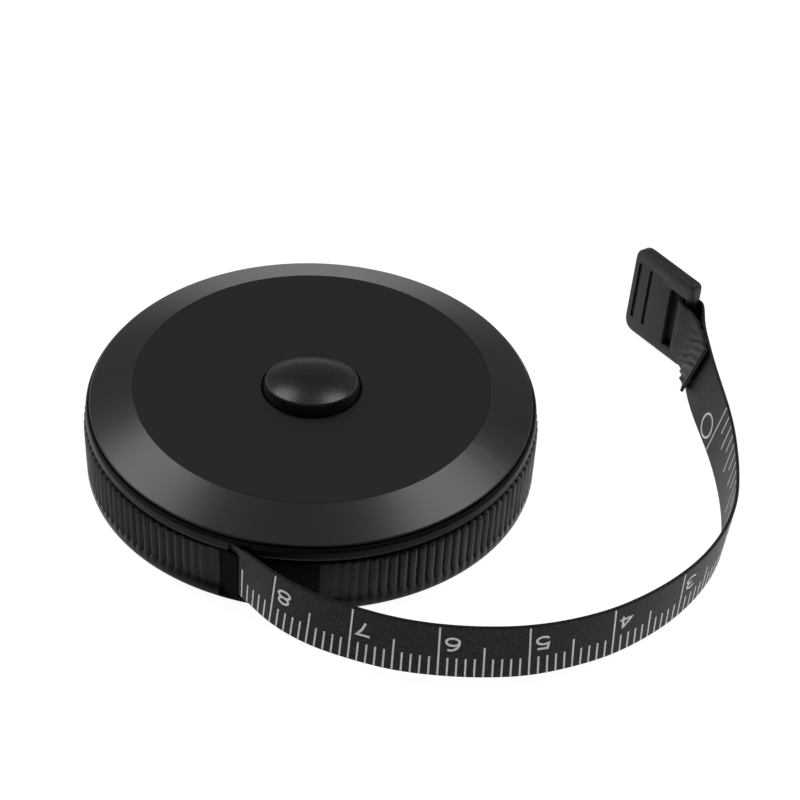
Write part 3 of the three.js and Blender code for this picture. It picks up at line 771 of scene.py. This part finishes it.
# A straight slot that lets the tape out of the wall
def mouth_tool(name, front, bottom, top):
    leave = leave_angle()
    side = np.array([math.cos(leave), math.sin(leave)])
    along = np.array([-side[1], side[0]])
    corners = []
    for reach, offset in ((MOUTH_START, front), (MOUTH_REACH, front),
                          (MOUTH_REACH, -MOUTH_BACK), (MOUTH_START, -MOUTH_BACK)):
        corners.append(tuple((COIL_OUTER + offset) * side + reach * along))
    return prism(name, corners, bottom, top)


# Rows of the outer wall from the base up: inset, height, share of the ribs and share of the foot band
def wall_rows():
    rows = [(inset, z, 0.0, 1.0) for inset, z in FOOT_CURVE]
    for t in (0.0, 0.15, 0.3, 0.45, 0.6, 0.75, 0.9, 1.0):
        share = t * t * (3 - 2 * t)
        rows.append((0.0, RIB_FOOT + RIB_FADE * t, share, 1.0 - share))
    rows += [(0.0, z, 1.0, 0.0) for z in (3.2, 4.0, 4.8, 5.6, 6.3)]
    for t in (1.0, 0.7, 0.4, 0.15):
        rows.append((-0.1 * (1 - t) ** 3, WALL_TOP - 0.3 * t, math.sqrt(1 - (1 - t) ** 2), 0.0))
    rows.append((-0.16, WALL_TOP, 0.0, 0.0))
    return rows


# Outline of the inside from the wall's top to the middle of the post, with the ring on the floor
def case_inside():
    outline = [(WALL_INNER, WALL_TOP), (WALL_INNER, FLOOR_TOP), (RING_OUTER, FLOOR_TOP),
               (RING_OUTER, RING_TOP), (RING_INNER, RING_TOP), (RING_INNER, FLOOR_TOP),
               (POST_RADIUS, FLOOR_TOP), (POST_RADIUS, POST_TOP), (0, POST_TOP)]
    return eased(outline, [0.0, 0.25, 0.1, 0.1, 0.1, 0.1, 0.15, 0.12, 0.0], 2)


# The wall has several points for each rib, and the inside has one
def case_mesh():
    pitch = 2 * math.pi / RIB_COUNT
    angles = [(i + t) * pitch - math.pi for i in range(RIB_COUNT) for t in RIB_SAMPLES]
    ribs = [rib_height(a) for a in angles]
    rows, inside = wall_rows(), case_inside()
    fine, per = len(angles), len(RIB_SAMPLES)
    points = []
    for inset, z, share, foot in rows:
        plain = RIB_ROOT - wall_draw(z) + inset + foot * FOOT_BAND
        for angle, rib in zip(angles, ribs):
            lip = shade_lip_share(angle, z)
            radius = (1 - lip) * (plain + share * rib) + lip * (shade_lip_radius(angle) + inset)
            points.append(polar(radius, angle, z))
    faces = [list(range(fine))[::-1]]
    for i in range(len(rows) - 1):
        faces += ring_faces(fine * i, fine * (i + 1), fine)
    start = len(points)
    for r, z in inside[:-1]:
        points += [polar(r, angle, z) for angle in angles[::per]]
    for j in range(RIB_COUNT):
        rim = [start - fine + (per * j + m) % fine for m in range(per + 1)]
        faces.append(rim + [start + (j + 1) % RIB_COUNT, start + j])
    last = start
    for _ in inside[:-2]:
        faces += ring_faces(last, last + RIB_COUNT, RIB_COUNT)
        last += RIB_COUNT
    points.append((0.0, 0.0, POST_TOP))
    faces += [[last + j, last + (j + 1) % RIB_COUNT, len(points) - 1] for j in range(RIB_COUNT)]
    return points, faces


def make_lower_case():
    case = mesh_object("case_lower_shell", *case_mesh())
    combine(case, box("bore", (-BORE_HALF, -BORE_HALF, FLOOR_TOP), (BORE_HALF, BORE_HALF, CUT_TOP)))
    combine(case, box("slit", (0.0, -SLIT_HALF, SLIT_BOTTOM), (SLIT_REACH, SLIT_HALF, CUT_TOP)))
    combine(case, mouth_tool("mouth", MOUTH_FRONT, FLOOR_TOP, WALL_TOP + MOUTH_SPARE))
    shade(case)
    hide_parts("lower_case")
    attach(case, "case")
    return case


def make_cover():
    outline = [(COVER_HOLE, DECK_TOP), (COVER_HOLE, DECK_BOTTOM), (BOSS_INNER, DECK_BOTTOM),
               (BOSS_INNER, BOSS_BOTTOM), (BOSS_OUTER, BOSS_BOTTOM), (BOSS_OUTER, STEP_BOTTOM),
               (STEP_OUTER, STEP_BOTTOM), (STEP_OUTER, DECK_BOTTOM), (DECK_EDGE, DECK_BOTTOM),
               (SPIGOT_INNER, SPIGOT_TOP), (SPIGOT_INNER, SPIGOT_BOTTOM), (SPIGOT_OUTER, SPIGOT_BOTTOM),
               (SPIGOT_OUTER, SKIRT_BOTTOM), (25.5, SKIRT_BOTTOM), (SKIRT_RADIUS, 7.65),
               (SKIRT_RADIUS, 8.65), (25.62, 9.0), (25.2, 8.95), (BEZEL_OUTER, BEZEL_BOTTOM),
               (BEZEL_INNER, PLATE_TOP), (BEZEL_INNER, DECK_TOP)]
    radii = [0.1, 0.1, 0.0, 0.1, 0.1, 0.0, 0.1, 0.0, 0.3, 0.2, 0.1, 0.1, 0.1,
             0.15, 0.3, 0.3, 0.12, 0.05, 0.2, 0.04, 0.0]
    cover = lathe("case_cover_shell", eased(outline, radii), 256)
    combine(cover, mouth_tool("mouth", MOUTH_FRONT_COVER, SPIGOT_BOTTOM - MOUTH_SPARE, MOUTH_TOP))
    shade(cover)
    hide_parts("top_cover")
    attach(cover, "case")
    return cover


def make_disc():
    outline = [(PLATE_HOLE, PLATE_BOTTOM), (PLATE_RADIUS, PLATE_BOTTOM), (PLATE_RADIUS, PLATE_TOP),
               (PLATE_HOLE, PLATE_TOP)]
    disc = lathe("face_disc", eased(outline, [0.05, 0.05, 0.04, 0.06]), 256)
    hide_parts("top_disc")
    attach(disc, "case")
    return disc


# The button's cap stands higher at the front than at the back
def make_button():
    rim = PLATE_TOP + BUTTON_RIM_HEIGHT
    dome_radius = (BUTTON_RIM_RADIUS ** 2 + BUTTON_DOME ** 2) / (2 * BUTTON_DOME)
    outline = [(0, FLANGE_BOTTOM), (FLANGE_RADIUS, FLANGE_BOTTOM), (FLANGE_RADIUS, FLANGE_TOP),
               (BUTTON_RADIUS, FLANGE_TOP), (BUTTON_RADIUS, PLATE_TOP - 0.1), (BUTTON_RIM_RADIUS, rim)]
    radii = [0, 0.12, 0.12, 0.05, 0.2, 0.16]
    for k in range(DOME_STEPS - 1, -1, -1):
        r = BUTTON_RIM_RADIUS * k / DOME_STEPS
        outline.append((r, rim + BUTTON_DOME - dome_radius + math.sqrt(dome_radius ** 2 - r * r)))
        radii.append(0)
    button = lathe("button_dome", eased(outline, radii), 128)
    for vertex in button.data.vertices:
        share = min(max((vertex.co.z / MM - PLATE_TOP) / BUTTON_RIM_HEIGHT, 0.0), 1.0)
        vertex.co.z -= share * BUTTON_SLANT * vertex.co.y
    stem = box("stem", (-STEM_HALF, -STEM_HALF, STEM_BOTTOM), (STEM_HALF, STEM_HALF, STEM_TOP))
    combine(button, stem, "UNION")
    shade(button)
    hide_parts("push_button")
    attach(button, "button")
    return button


# Springs

def tube(name, points, radius, sides):
    along = unit(np.gradient(points, axis=0))
    side = unit(np.cross(along, np.tile([0.0, 0.0, 1.0], (len(points), 1))))
    line = Line(points, np.cross(side, along), 0.0)
    outline = [tuple(polar(radius, -2 * math.pi * k / sides, 0.0)[:2]) for k in range(sides)]
    return strip(name, line, outline)


def make_button_spring():
    share = np.linspace(0, 1, SPRING_STEPS + 1)
    angle = 2 * math.pi * SPRING_TURNS * share
    z = SPRING_LOW + (SPRING_HIGH - SPRING_LOW) * share
    points = np.stack([SPRING_RADIUS * np.cos(angle), SPRING_RADIUS * np.sin(angle), z], 1)
    spring = tube("button_coil_spring", points, SPRING_WIRE_RADIUS, 12)
    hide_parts("button_spring")
    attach(spring, "case")
    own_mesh(spring)
    return spring


# The last third of the outer turn is a piece of its own; the rest stays with the case
def make_mainspring():
    share = np.linspace(0, 1, int(MAINSPRING_TURNS * MAINSPRING_STEPS) + 1)
    angle = MAINSPRING_END - 2 * math.pi * MAINSPRING_TURNS * (1 - share)
    radius = MAINSPRING_INNER + (MAINSPRING_OUTER - MAINSPRING_INNER) * share
    z = 0.5 * (MAINSPRING_BOTTOM + MAINSPRING_TOP)
    wound = np.stack([radius * np.cos(angle), radius * np.sin(angle), np.full(len(share), z)], 1)
    hook_in = np.array([(x, 0.0, z) for x in INNER_HOOK])
    hook_out = np.array([polar(r, a, z) for r, a in OUTER_HOOK])
    still = resampled(np.concatenate([hook_in, wound[angle <= MAINSPRING_SPLIT]]), STATION_STEP)
    moving = resampled(np.concatenate([wound[angle >= MAINSPRING_SPLIT], hook_out]), STATION_STEP)
    outline = section(MAINSPRING_TOP - MAINSPRING_BOTTOM, MAINSPRING_THICKNESS, 0.1, 2, 2)
    pieces = []
    for name, points in (("mainspring_coil", still), ("mainspring_end", moving)):
        line = Line(points, np.tile([0.0, 0.0, 1.0], (len(points), 1)), 0.0)
        piece = strip(name, line, outline)
        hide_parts("mainspring")
        pieces.append(piece)
    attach(pieces[0], "case")
    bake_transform(pieces[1])
    return pieces


# Pull tab

def make_tab():
    half = TAB_THICKNESS / 2
    outline = [(-half, TAB_SLOT_BOTTOM), (-half, TAB_BOTTOM), (TAB_FAR, TAB_BOTTOM), (TAB_FAR, TAB_TOP),
               (-half, TAB_TOP), (-half, TAB_SLOT_TOP), (TAB_SLOT_END, TAB_SLOT_TOP),
               (TAB_SLOT_END, TAB_SLOT_BOTTOM)]
    sides = [0.0, TAB_NEAR_CORNER, TAB_CORNER]
    radii = [*sides, *sides[::-1], TAB_SLOT_CORNER, TAB_SLOT_CORNER]
    corners = eased(outline, radii, 6)
    tab = prism("pull_tab", [tuple(p) for p in corners], -half, half)
    bevel = tab.modifiers.new("round", "BEVEL")
    bevel.width = TAB_EDGE_ROUND * MM
    bevel.segments = 4
    bevel.limit_method = "ANGLE"
    bevel.angle_limit = math.radians(50)
    bake_modifiers(tab)
    low, high = TAB_SLOT_BOTTOM - ROD_OVERLAP, TAB_SLOT_TOP + ROD_OVERLAP
    rod = lathe("rod", [(0, low), (half, low), (half, high), (0, high)], 32)
    rod.data.transform(Matrix.Rotation(math.radians(-90), 4, "X"))
    combine(tab, rod, "UNION")
    low = (TAB_SLOT_END - TAB_LEDGE, TAB_SLOT_BOTTOM - TAB_OVERLAP, TAB_LEDGE_FRONT)
    high = (TAB_SLOT_END + TAB_OVERLAP, TAB_SLOT_TOP + TAB_OVERLAP, half - TAB_LEDGE_BACK)
    combine(tab, box("ledge", low, high), "UNION")
    for place in GROOVE_PLACES:
        x = TAB_FAR - place
        for side in (-1, 1):
            low = (x - GROOVE_HALF, TAB_BOTTOM + GROOVE_MARGIN, side * half - GROOVE_DEPTH)
            high = (x + GROOVE_HALF, TAB_TOP - GROOVE_MARGIN, side * half + GROOVE_DEPTH)
            combine(tab, box("groove", low, high))
    along, back, axis = tab_axes()
    turn = Matrix((along, axis, back)).transposed().to_4x4()
    tab.data.transform(Matrix.Translation(Vector(TAB_BAR) * MM) @ turn)
    shade(tab)
    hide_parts("end_tab")
    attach(tab, "tab_body")
    return tab


# Materials

def new_material(name):
    material = bpy.data.materials.new(name)
    material.use_nodes = True
    tree = material.node_tree
    return material, tree, tree.nodes["Principled BSDF"]


def add(tree, kind, inputs=None, **settings):
    made = tree.nodes.new(kind)
    for key, value in settings.items():
        setattr(made, key, value)
    for key, value in (inputs or {}).items():
        if isinstance(value, bpy.types.NodeSocket):
            tree.links.new(value, made.inputs[key])
        else:
            made.inputs[key].default_value = value
    return made


def math_node(tree, operation, a, b=0.0):
    return add(tree, "ShaderNodeMath", {0: a, 1: b}, operation=operation).outputs[0]


def noise(tree, place, scale, detail=3.0, roughness=0.55):
    inputs = {"Vector": place, "Scale": scale, "Detail": detail, "Roughness": roughness}
    return add(tree, "ShaderNodeTexNoise", inputs).outputs[0]


def spread(tree, value, low, high, out_low, out_high):
    inputs = {"Value": value, "From Min": low, "From Max": high, "To Min": out_low, "To Max": out_high}
    return add(tree, "ShaderNodeMapRange", inputs).outputs[0]


def mixed(tree, share, a, b):
    a, b = (c if isinstance(c, bpy.types.NodeSocket) else (*c, 1.0) for c in (a, b))
    return add(tree, "ShaderNodeMix", {"Factor": share, 6: a, 7: b}, data_type="RGBA").outputs[2]


def grey(level):
    return (level, level, level)


# Moulded plastic: fine pebbled grain, cloudy tone unless another is given, and edges rubbed lighter
def plastic(name, dark, light, roughness, specular, grain=5000.0, depth=0.004, wear=0.6,
            tint=(1.0, 1.0, 1.0), shares=None):
    material, tree, shader = new_material(name)
    place = add(tree, "ShaderNodeTexCoord").outputs["Object"]
    fine = noise(tree, place, grain)
    deep, pale = [dark * c for c in tint], [light * c for c in tint]
    if shares is None:
        share = spread(tree, noise(tree, place, 160.0, 4.0, 0.6), 0.3, 0.7, 0.0, 1.0)
    else:
        share = shares(tree, place)
    tone = mixed(tree, share, deep, pale)
    if wear:
        edge = add(tree, "ShaderNodeNewGeometry").outputs["Pointiness"]
        rub = math_node(tree, "MULTIPLY", spread(tree, edge, 0.53, 0.62, 0.0, wear),
                        spread(tree, noise(tree, place, 900.0), 0.35, 0.65, 0.3, 1.0))
        tone = mixed(tree, rub, tone, [2.2 * c + 0.01 for c in pale])
    tree.links.new(tone, shader.inputs["Base Color"])
    vary = min(0.04, 7.0 * depth)
    rough = spread(tree, fine, 0.3, 0.7, roughness - vary, roughness + vary)
    tree.links.new(rough, shader.inputs["Roughness"])
    shader.inputs["Specular IOR Level"].default_value = specular
    bump = add(tree, "ShaderNodeBump", {"Height": fine, "Strength": 0.6, "Distance": depth * MM})
    tree.links.new(bump.outputs[0], shader.inputs["Normal"])
    return material


def between(tree, value, low, high):
    above = math_node(tree, "GREATER_THAN", value, low)
    return math_node(tree, "MULTIPLY", above, math_node(tree, "LESS_THAN", value, high))


# Tone of the ribbed wall, painted light: the rib crests carry a painted highlight, weak by the mouth
# and full at the sides, the furrows stay dark, the wall by the mouth carries painted shade, the foot is
# a little darker, and faint upright streaks are left from the mould
def rib_sheen_and_shade(tree, place):
    x, y, z = add(tree, "ShaderNodeSeparateXYZ", {0: place}).outputs
    angle = math_node(tree, "ARCTAN2", y, x)
    wave = math_node(tree, "COSINE", math_node(tree, "MULTIPLY", angle, float(RIB_COUNT)))
    past = math_node(tree, "ABSOLUTE", math_node(tree, "SUBTRACT", angle, EXIT_ANGLE))
    # Painted highlight on the crests: a fifth as strong by the mouth, full at the sides
    contrast = spread(tree, past, SMOOTH_AFTER, SMOOTH_AFTER + 2 * RIB_RISE, 0.2, 1.0)
    crest = spread(tree, math_node(tree, "MULTIPLY", wave, contrast), -1.0, 1.0, 0.0, 1.0)
    plain = between(tree, angle, EXIT_ANGLE - SMOOTH_BEFORE, SHADE_LIP_START)
    level = add(tree, "ShaderNodeMix", {"Factor": plain, "A": crest, "B": 0.6}).outputs[0]
    # A little darker toward the foot
    level = math_node(tree, "MULTIPLY", level, spread(tree, z, 1.2 * MM, 2.4 * MM, 0.7, 1.0))
    drawn = add(tree, "ShaderNodeMapping", {"Vector": place, "Scale": (1.0, 1.0, 0.06)}).outputs[0]
    streaks = spread(tree, noise(tree, drawn, 2600.0, 2.0), 0.35, 0.65, 0.6, 1.3)
    level = math_node(tree, "MULTIPLY", level, streaks)
    # Painted shade on the wall near the mouth, lifting to the full tone away from it
    painted_sheen_by_angle = spread(tree, past, SMOOTH_AFTER, SMOOTH_AFTER + 3.5 * RIB_RISE, 0.06, 1.0)
    return math_node(tree, "MULTIPLY", level, painted_sheen_by_angle)


def steel(name, level, roughness, streak):
    material, tree, shader = new_material(name)
    place = add(tree, "ShaderNodeTexCoord").outputs["Object"]
    stretched = add(tree, "ShaderNodeMapping", {"Vector": place, "Scale": streak}).outputs[0]
    lines = noise(tree, stretched, 900.0, 4.0)
    tone = mixed(tree, lines, grey(level * 0.85), grey(level * 1.1))
    tree.links.new(tone, shader.inputs["Base Color"])
    rough = spread(tree, lines, 0.3, 0.7, roughness - 0.08, roughness + 0.1)
    tree.links.new(rough, shader.inputs["Roughness"])
    shader.inputs["Metallic"].default_value = 1.0
    bump = add(tree, "ShaderNodeBump", {"Height": lines, "Strength": 0.3, "Distance": 0.01 * MM})
    tree.links.new(bump.outputs[0], shader.inputs["Normal"])
    return material


# Height of a plain weave: one rounded float for each crossing of the threads
def weave(tree, place):
    axes = add(tree, "ShaderNodeSeparateXYZ", {0: place}).outputs
    waves = []
    for value, pitch in zip(axes, (WEAVE_ALONG, WEAVE_ACROSS)):
        waves.append(math_node(tree, "SINE", math_node(tree, "MULTIPLY", value, math.pi / pitch)))
    cross = math_node(tree, "MULTIPLY", waves[0], waves[1])
    return math_node(tree, "POWER", math_node(tree, "ABSOLUTE", cross), 0.6), cross


def fabric(name):
    material, tree, shader = new_material(name)
    place = add(tree, "ShaderNodeAttribute", attribute_name="tape_place").outputs["Vector"]
    height, cross = weave(tree, place)
    fuzz = noise(tree, place, 4.0, 2.0, 0.65)
    cloud = noise(tree, place, 0.7, 3.0)
    threads = spread(tree, cross, -1.0, 1.0, 0.0, 1.0)
    base = mixed(tree, threads, grey(0.005), grey(0.010))
    base = mixed(tree, spread(tree, fuzz, 0.5, 0.7, 0.0, 0.9), base, grey(0.042))
    base = mixed(tree, spread(tree, cloud, 0.3, 0.7, 0.0, 0.4), base, grey(0.007))
    tree.links.new(base, shader.inputs["Base Color"])
    tree.links.new(spread(tree, height, 0.0, 1.0, 0.5, 0.36), shader.inputs["Roughness"])
    shader.inputs["Specular IOR Level"].default_value = 0.15
    rough_height = math_node(tree, "ADD", height, math_node(tree, "MULTIPLY", fuzz, 0.5))
    bump = add(tree, "ShaderNodeBump", {"Height": rough_height, "Strength": 0.7, "Distance": 0.03 * MM})
    tree.links.new(bump.outputs[0], shader.inputs["Normal"])
    return material


# Printed ink: thinner where the threads dip and where it has rubbed off
def ink(name):
    material, tree, shader = new_material(name)
    place = add(tree, "ShaderNodeAttribute", attribute_name="tape_place").outputs["Vector"]
    height, _ = weave(tree, place)
    patch = noise(tree, place, 5.0, 4.0, 0.7)
    worn = math_node(tree, "MULTIPLY", spread(tree, height, 0.1, 0.7, 0.65, 1.0),
                     spread(tree, patch, 0.32, 0.5, 0.45, 1.0))
    tree.links.new(mixed(tree, worn, grey(0.08), grey(0.85)), shader.inputs["Base Color"])
    shader.inputs["Roughness"].default_value = 0.7
    shader.inputs["Specular IOR Level"].default_value = 0.3
    bump = add(tree, "ShaderNodeBump", {"Height": height, "Strength": 0.4, "Distance": 0.02 * MM})
    tree.links.new(bump.outputs[0], shader.inputs["Normal"])
    return material


def dress(obj, material):
    obj.data.materials.clear()
    obj.data.materials.append(material)


# A further material on the faces whose middle, in millimetres, is chosen
def dress_some(obj, material, chosen):
    obj.data.materials.append(material)
    for polygon in obj.data.polygons:
        if chosen(polygon.center / MM):
            polygon.material_index = len(obj.data.materials) - 1


# Faces outside the wall from the lip to the end of the smooth stretch past the mouth, which get painted
# shade
def beside_mouth(place):
    angle = math.atan2(place.y, place.x)
    return place.xy.length > WALL_INNER and SHADE_LIP_START < angle < EXIT_ANGLE + SMOOTH_AFTER


# Stage

def make_floor():
    corners = ((-1, -1), (1, -1), (1, 1), (-1, 1))
    points = [(x * FLOOR_REACH, y * FLOOR_REACH, FLOOR_LEVEL) for x, y in corners]
    floor = mesh_object("floor", points, [[0, 1, 2, 3]])
    material, _, shader = new_material("floor_paper")
    shader.inputs["Base Color"].default_value = (*grey(FLOOR_TONE), 1.0)
    shader.inputs["Roughness"].default_value = 0.9
    shader.inputs["Specular IOR Level"].default_value = 0.0
    shader.inputs["Emission Color"].default_value = (1.0, 1.0, 1.0, 1.0)
    shader.inputs["Emission Strength"].default_value = FLOOR_GLOW
    dress(floor, material)


def softbox(name, direction):
    data = bpy.data.lights.new(name, "AREA")
    data.shape = "SQUARE"
    data.size = SOFTBOX_SIZE * MM
    data.energy = SOFTBOX_RADIANCE * math.pi * (SOFTBOX_SIZE * MM) ** 2
    light = bpy.data.objects.new(name, data)
    toward = Vector(direction).normalized()
    light.location = toward * SOFTBOX_DISTANCE * MM
    light.rotation_mode = "QUATERNION"
    light.rotation_quaternion = toward.to_track_quat("Z", "Y")
    bpy.context.scene.collection.objects.link(light)


# Two soft lamps, a pale panel overhead and at both sides, and little from the front and the back
def make_light():
    softbox("softbox_right", (0.42, 0.3, 0.85))
    softbox("softbox_left", (-0.456, 0.41, 0.79))
    world = bpy.data.worlds.new("studio")
    world.use_nodes = True
    tree = world.node_tree
    direction = add(tree, "ShaderNodeTexCoord").outputs["Generated"]
    x, y, z = add(tree, "ShaderNodeSeparateXYZ", {0: direction}).outputs
    side = spread(tree, math_node(tree, "ABSOLUTE", x), 0.35, 0.85, 0.0, 1.0)
    low = spread(tree, z, 0.15, 0.7, 1.0, 0.0)
    behind = spread(tree, y, -0.25, 0.15, 0.0, 1.0)
    panels = math_node(tree, "MULTIPLY", math_node(tree, "MULTIPLY", side, low), 1.1)
    lit = math_node(tree, "MULTIPLY", math_node(tree, "ADD", panels, 0.14), behind)
    overhead = spread(tree, z, 0.82, 0.95, 0.04, 0.4)
    level = math_node(tree, "ADD", lit, overhead)
    background = tree.nodes["Background"]
    tree.links.new(level, background.inputs["Strength"])
    background.inputs["Color"].default_value = (1.0, 1.0, 1.0, 1.0)
    bpy.context.scene.world = world
    bpy.context.scene.view_settings.view_transform = "Standard"


# Pieces

make_camera()
line = tape_line()
tape = make_tape(line)
prints = make_prints(line)
tab = make_tab()
coil = make_coil()
case = make_lower_case()
cover = make_cover()
disc = make_disc()
button = make_button()
button_spring = make_button_spring()
mainsprings = make_mainspring()

tape_fabric = fabric("tape_fabric")
tape_ink = ink("tape_ink")
# Its light tone is the painted highlight and sheen of the ribbed wall
case_plastic = plastic("case_plastic", dark=0.003, light=0.17, roughness=0.34, specular=0.09,
                       depth=0.005, wear=0.0, shares=rib_sheen_and_shade)
# A darker, duller copy of the case plastic: painted shade on the lip and on the wall beside the mouth
mouth_shade_plastic = plastic("mouth_shade_plastic", dark=0.003, light=0.004, roughness=0.5, specular=0.02,
                        wear=0.0)
cover_plastic = plastic("cover_plastic", dark=0.008, light=0.010, roughness=0.28, specular=0.4,
                        grain=9000.0, depth=0.0005)
# A darker, duller copy of the cover plastic: painted shade on the skirt band below the bezel
skirt_shade_plastic = plastic("skirt_shade_plastic", dark=0.004, light=0.006, roughness=0.4, specular=0.09,
                        wear=0.3)
disc_plastic = plastic("disc_plastic", dark=0.010, light=0.012, roughness=0.5, specular=0.25,
                       grain=7000.0, wear=0.0)
button_plastic = plastic("button_plastic", dark=0.008, light=0.010, roughness=0.28, specular=0.4,
                         grain=6000.0)
tab_plastic = plastic("tab_plastic", dark=0.014, light=0.02, roughness=0.45, specular=0.33,
                      grain=3500.0, depth=0.024)
white_plastic = plastic("white_plastic", dark=0.62, light=0.7, roughness=0.45, specular=0.4,
                        grain=4000.0, depth=0.005, wear=0.15)
shim_plastic = plastic("shim_plastic", dark=0.5, light=0.58, roughness=0.6, specular=0.35,
                       grain=3000.0, wear=0.1, tint=(1.0, 0.95, 0.82))
friction_rubber = plastic("friction_rubber", dark=0.03, light=0.05, roughness=0.8, specular=0.25,
                          grain=2500.0, depth=0.02, wear=0.2)
spring_wire = steel("spring_wire", level=0.6, roughness=0.3, streak=(1.0, 1.0, 6.0))
spring_strip = steel("spring_strip", level=0.45, roughness=0.28, streak=(1.0, 1.0, 8.0))

for obj in (tape, coil):
    dress(obj, tape_fabric)
for obj in prints:
    dress(obj, tape_ink)
for obj, material in ((case, case_plastic), (cover, cover_plastic), (disc, disc_plastic),
                      (button, button_plastic), (tab, tab_plastic), (button_spring, spring_wire)):
    dress(obj, material)
# The cover's faces below the skirt's top take the painted-shade copy of its plastic
dress_some(cover, skirt_shade_plastic, lambda place: place.z < SKIRT_TOP)
# The wall beside the mouth takes the painted-shade copy of the case plastic
dress_some(case, mouth_shade_plastic, beside_mouth)
for obj in mainsprings:
    dress(obj, spring_strip)
for node, material in (("spool", white_plastic), ("brake_disc", white_plastic),
                       ("friction_ring", friction_rubber), ("lower_spring_shim", shim_plastic),
                       ("upper_spring_shim", shim_plastic)):
    dress(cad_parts[node], material)

make_floor()
make_light()
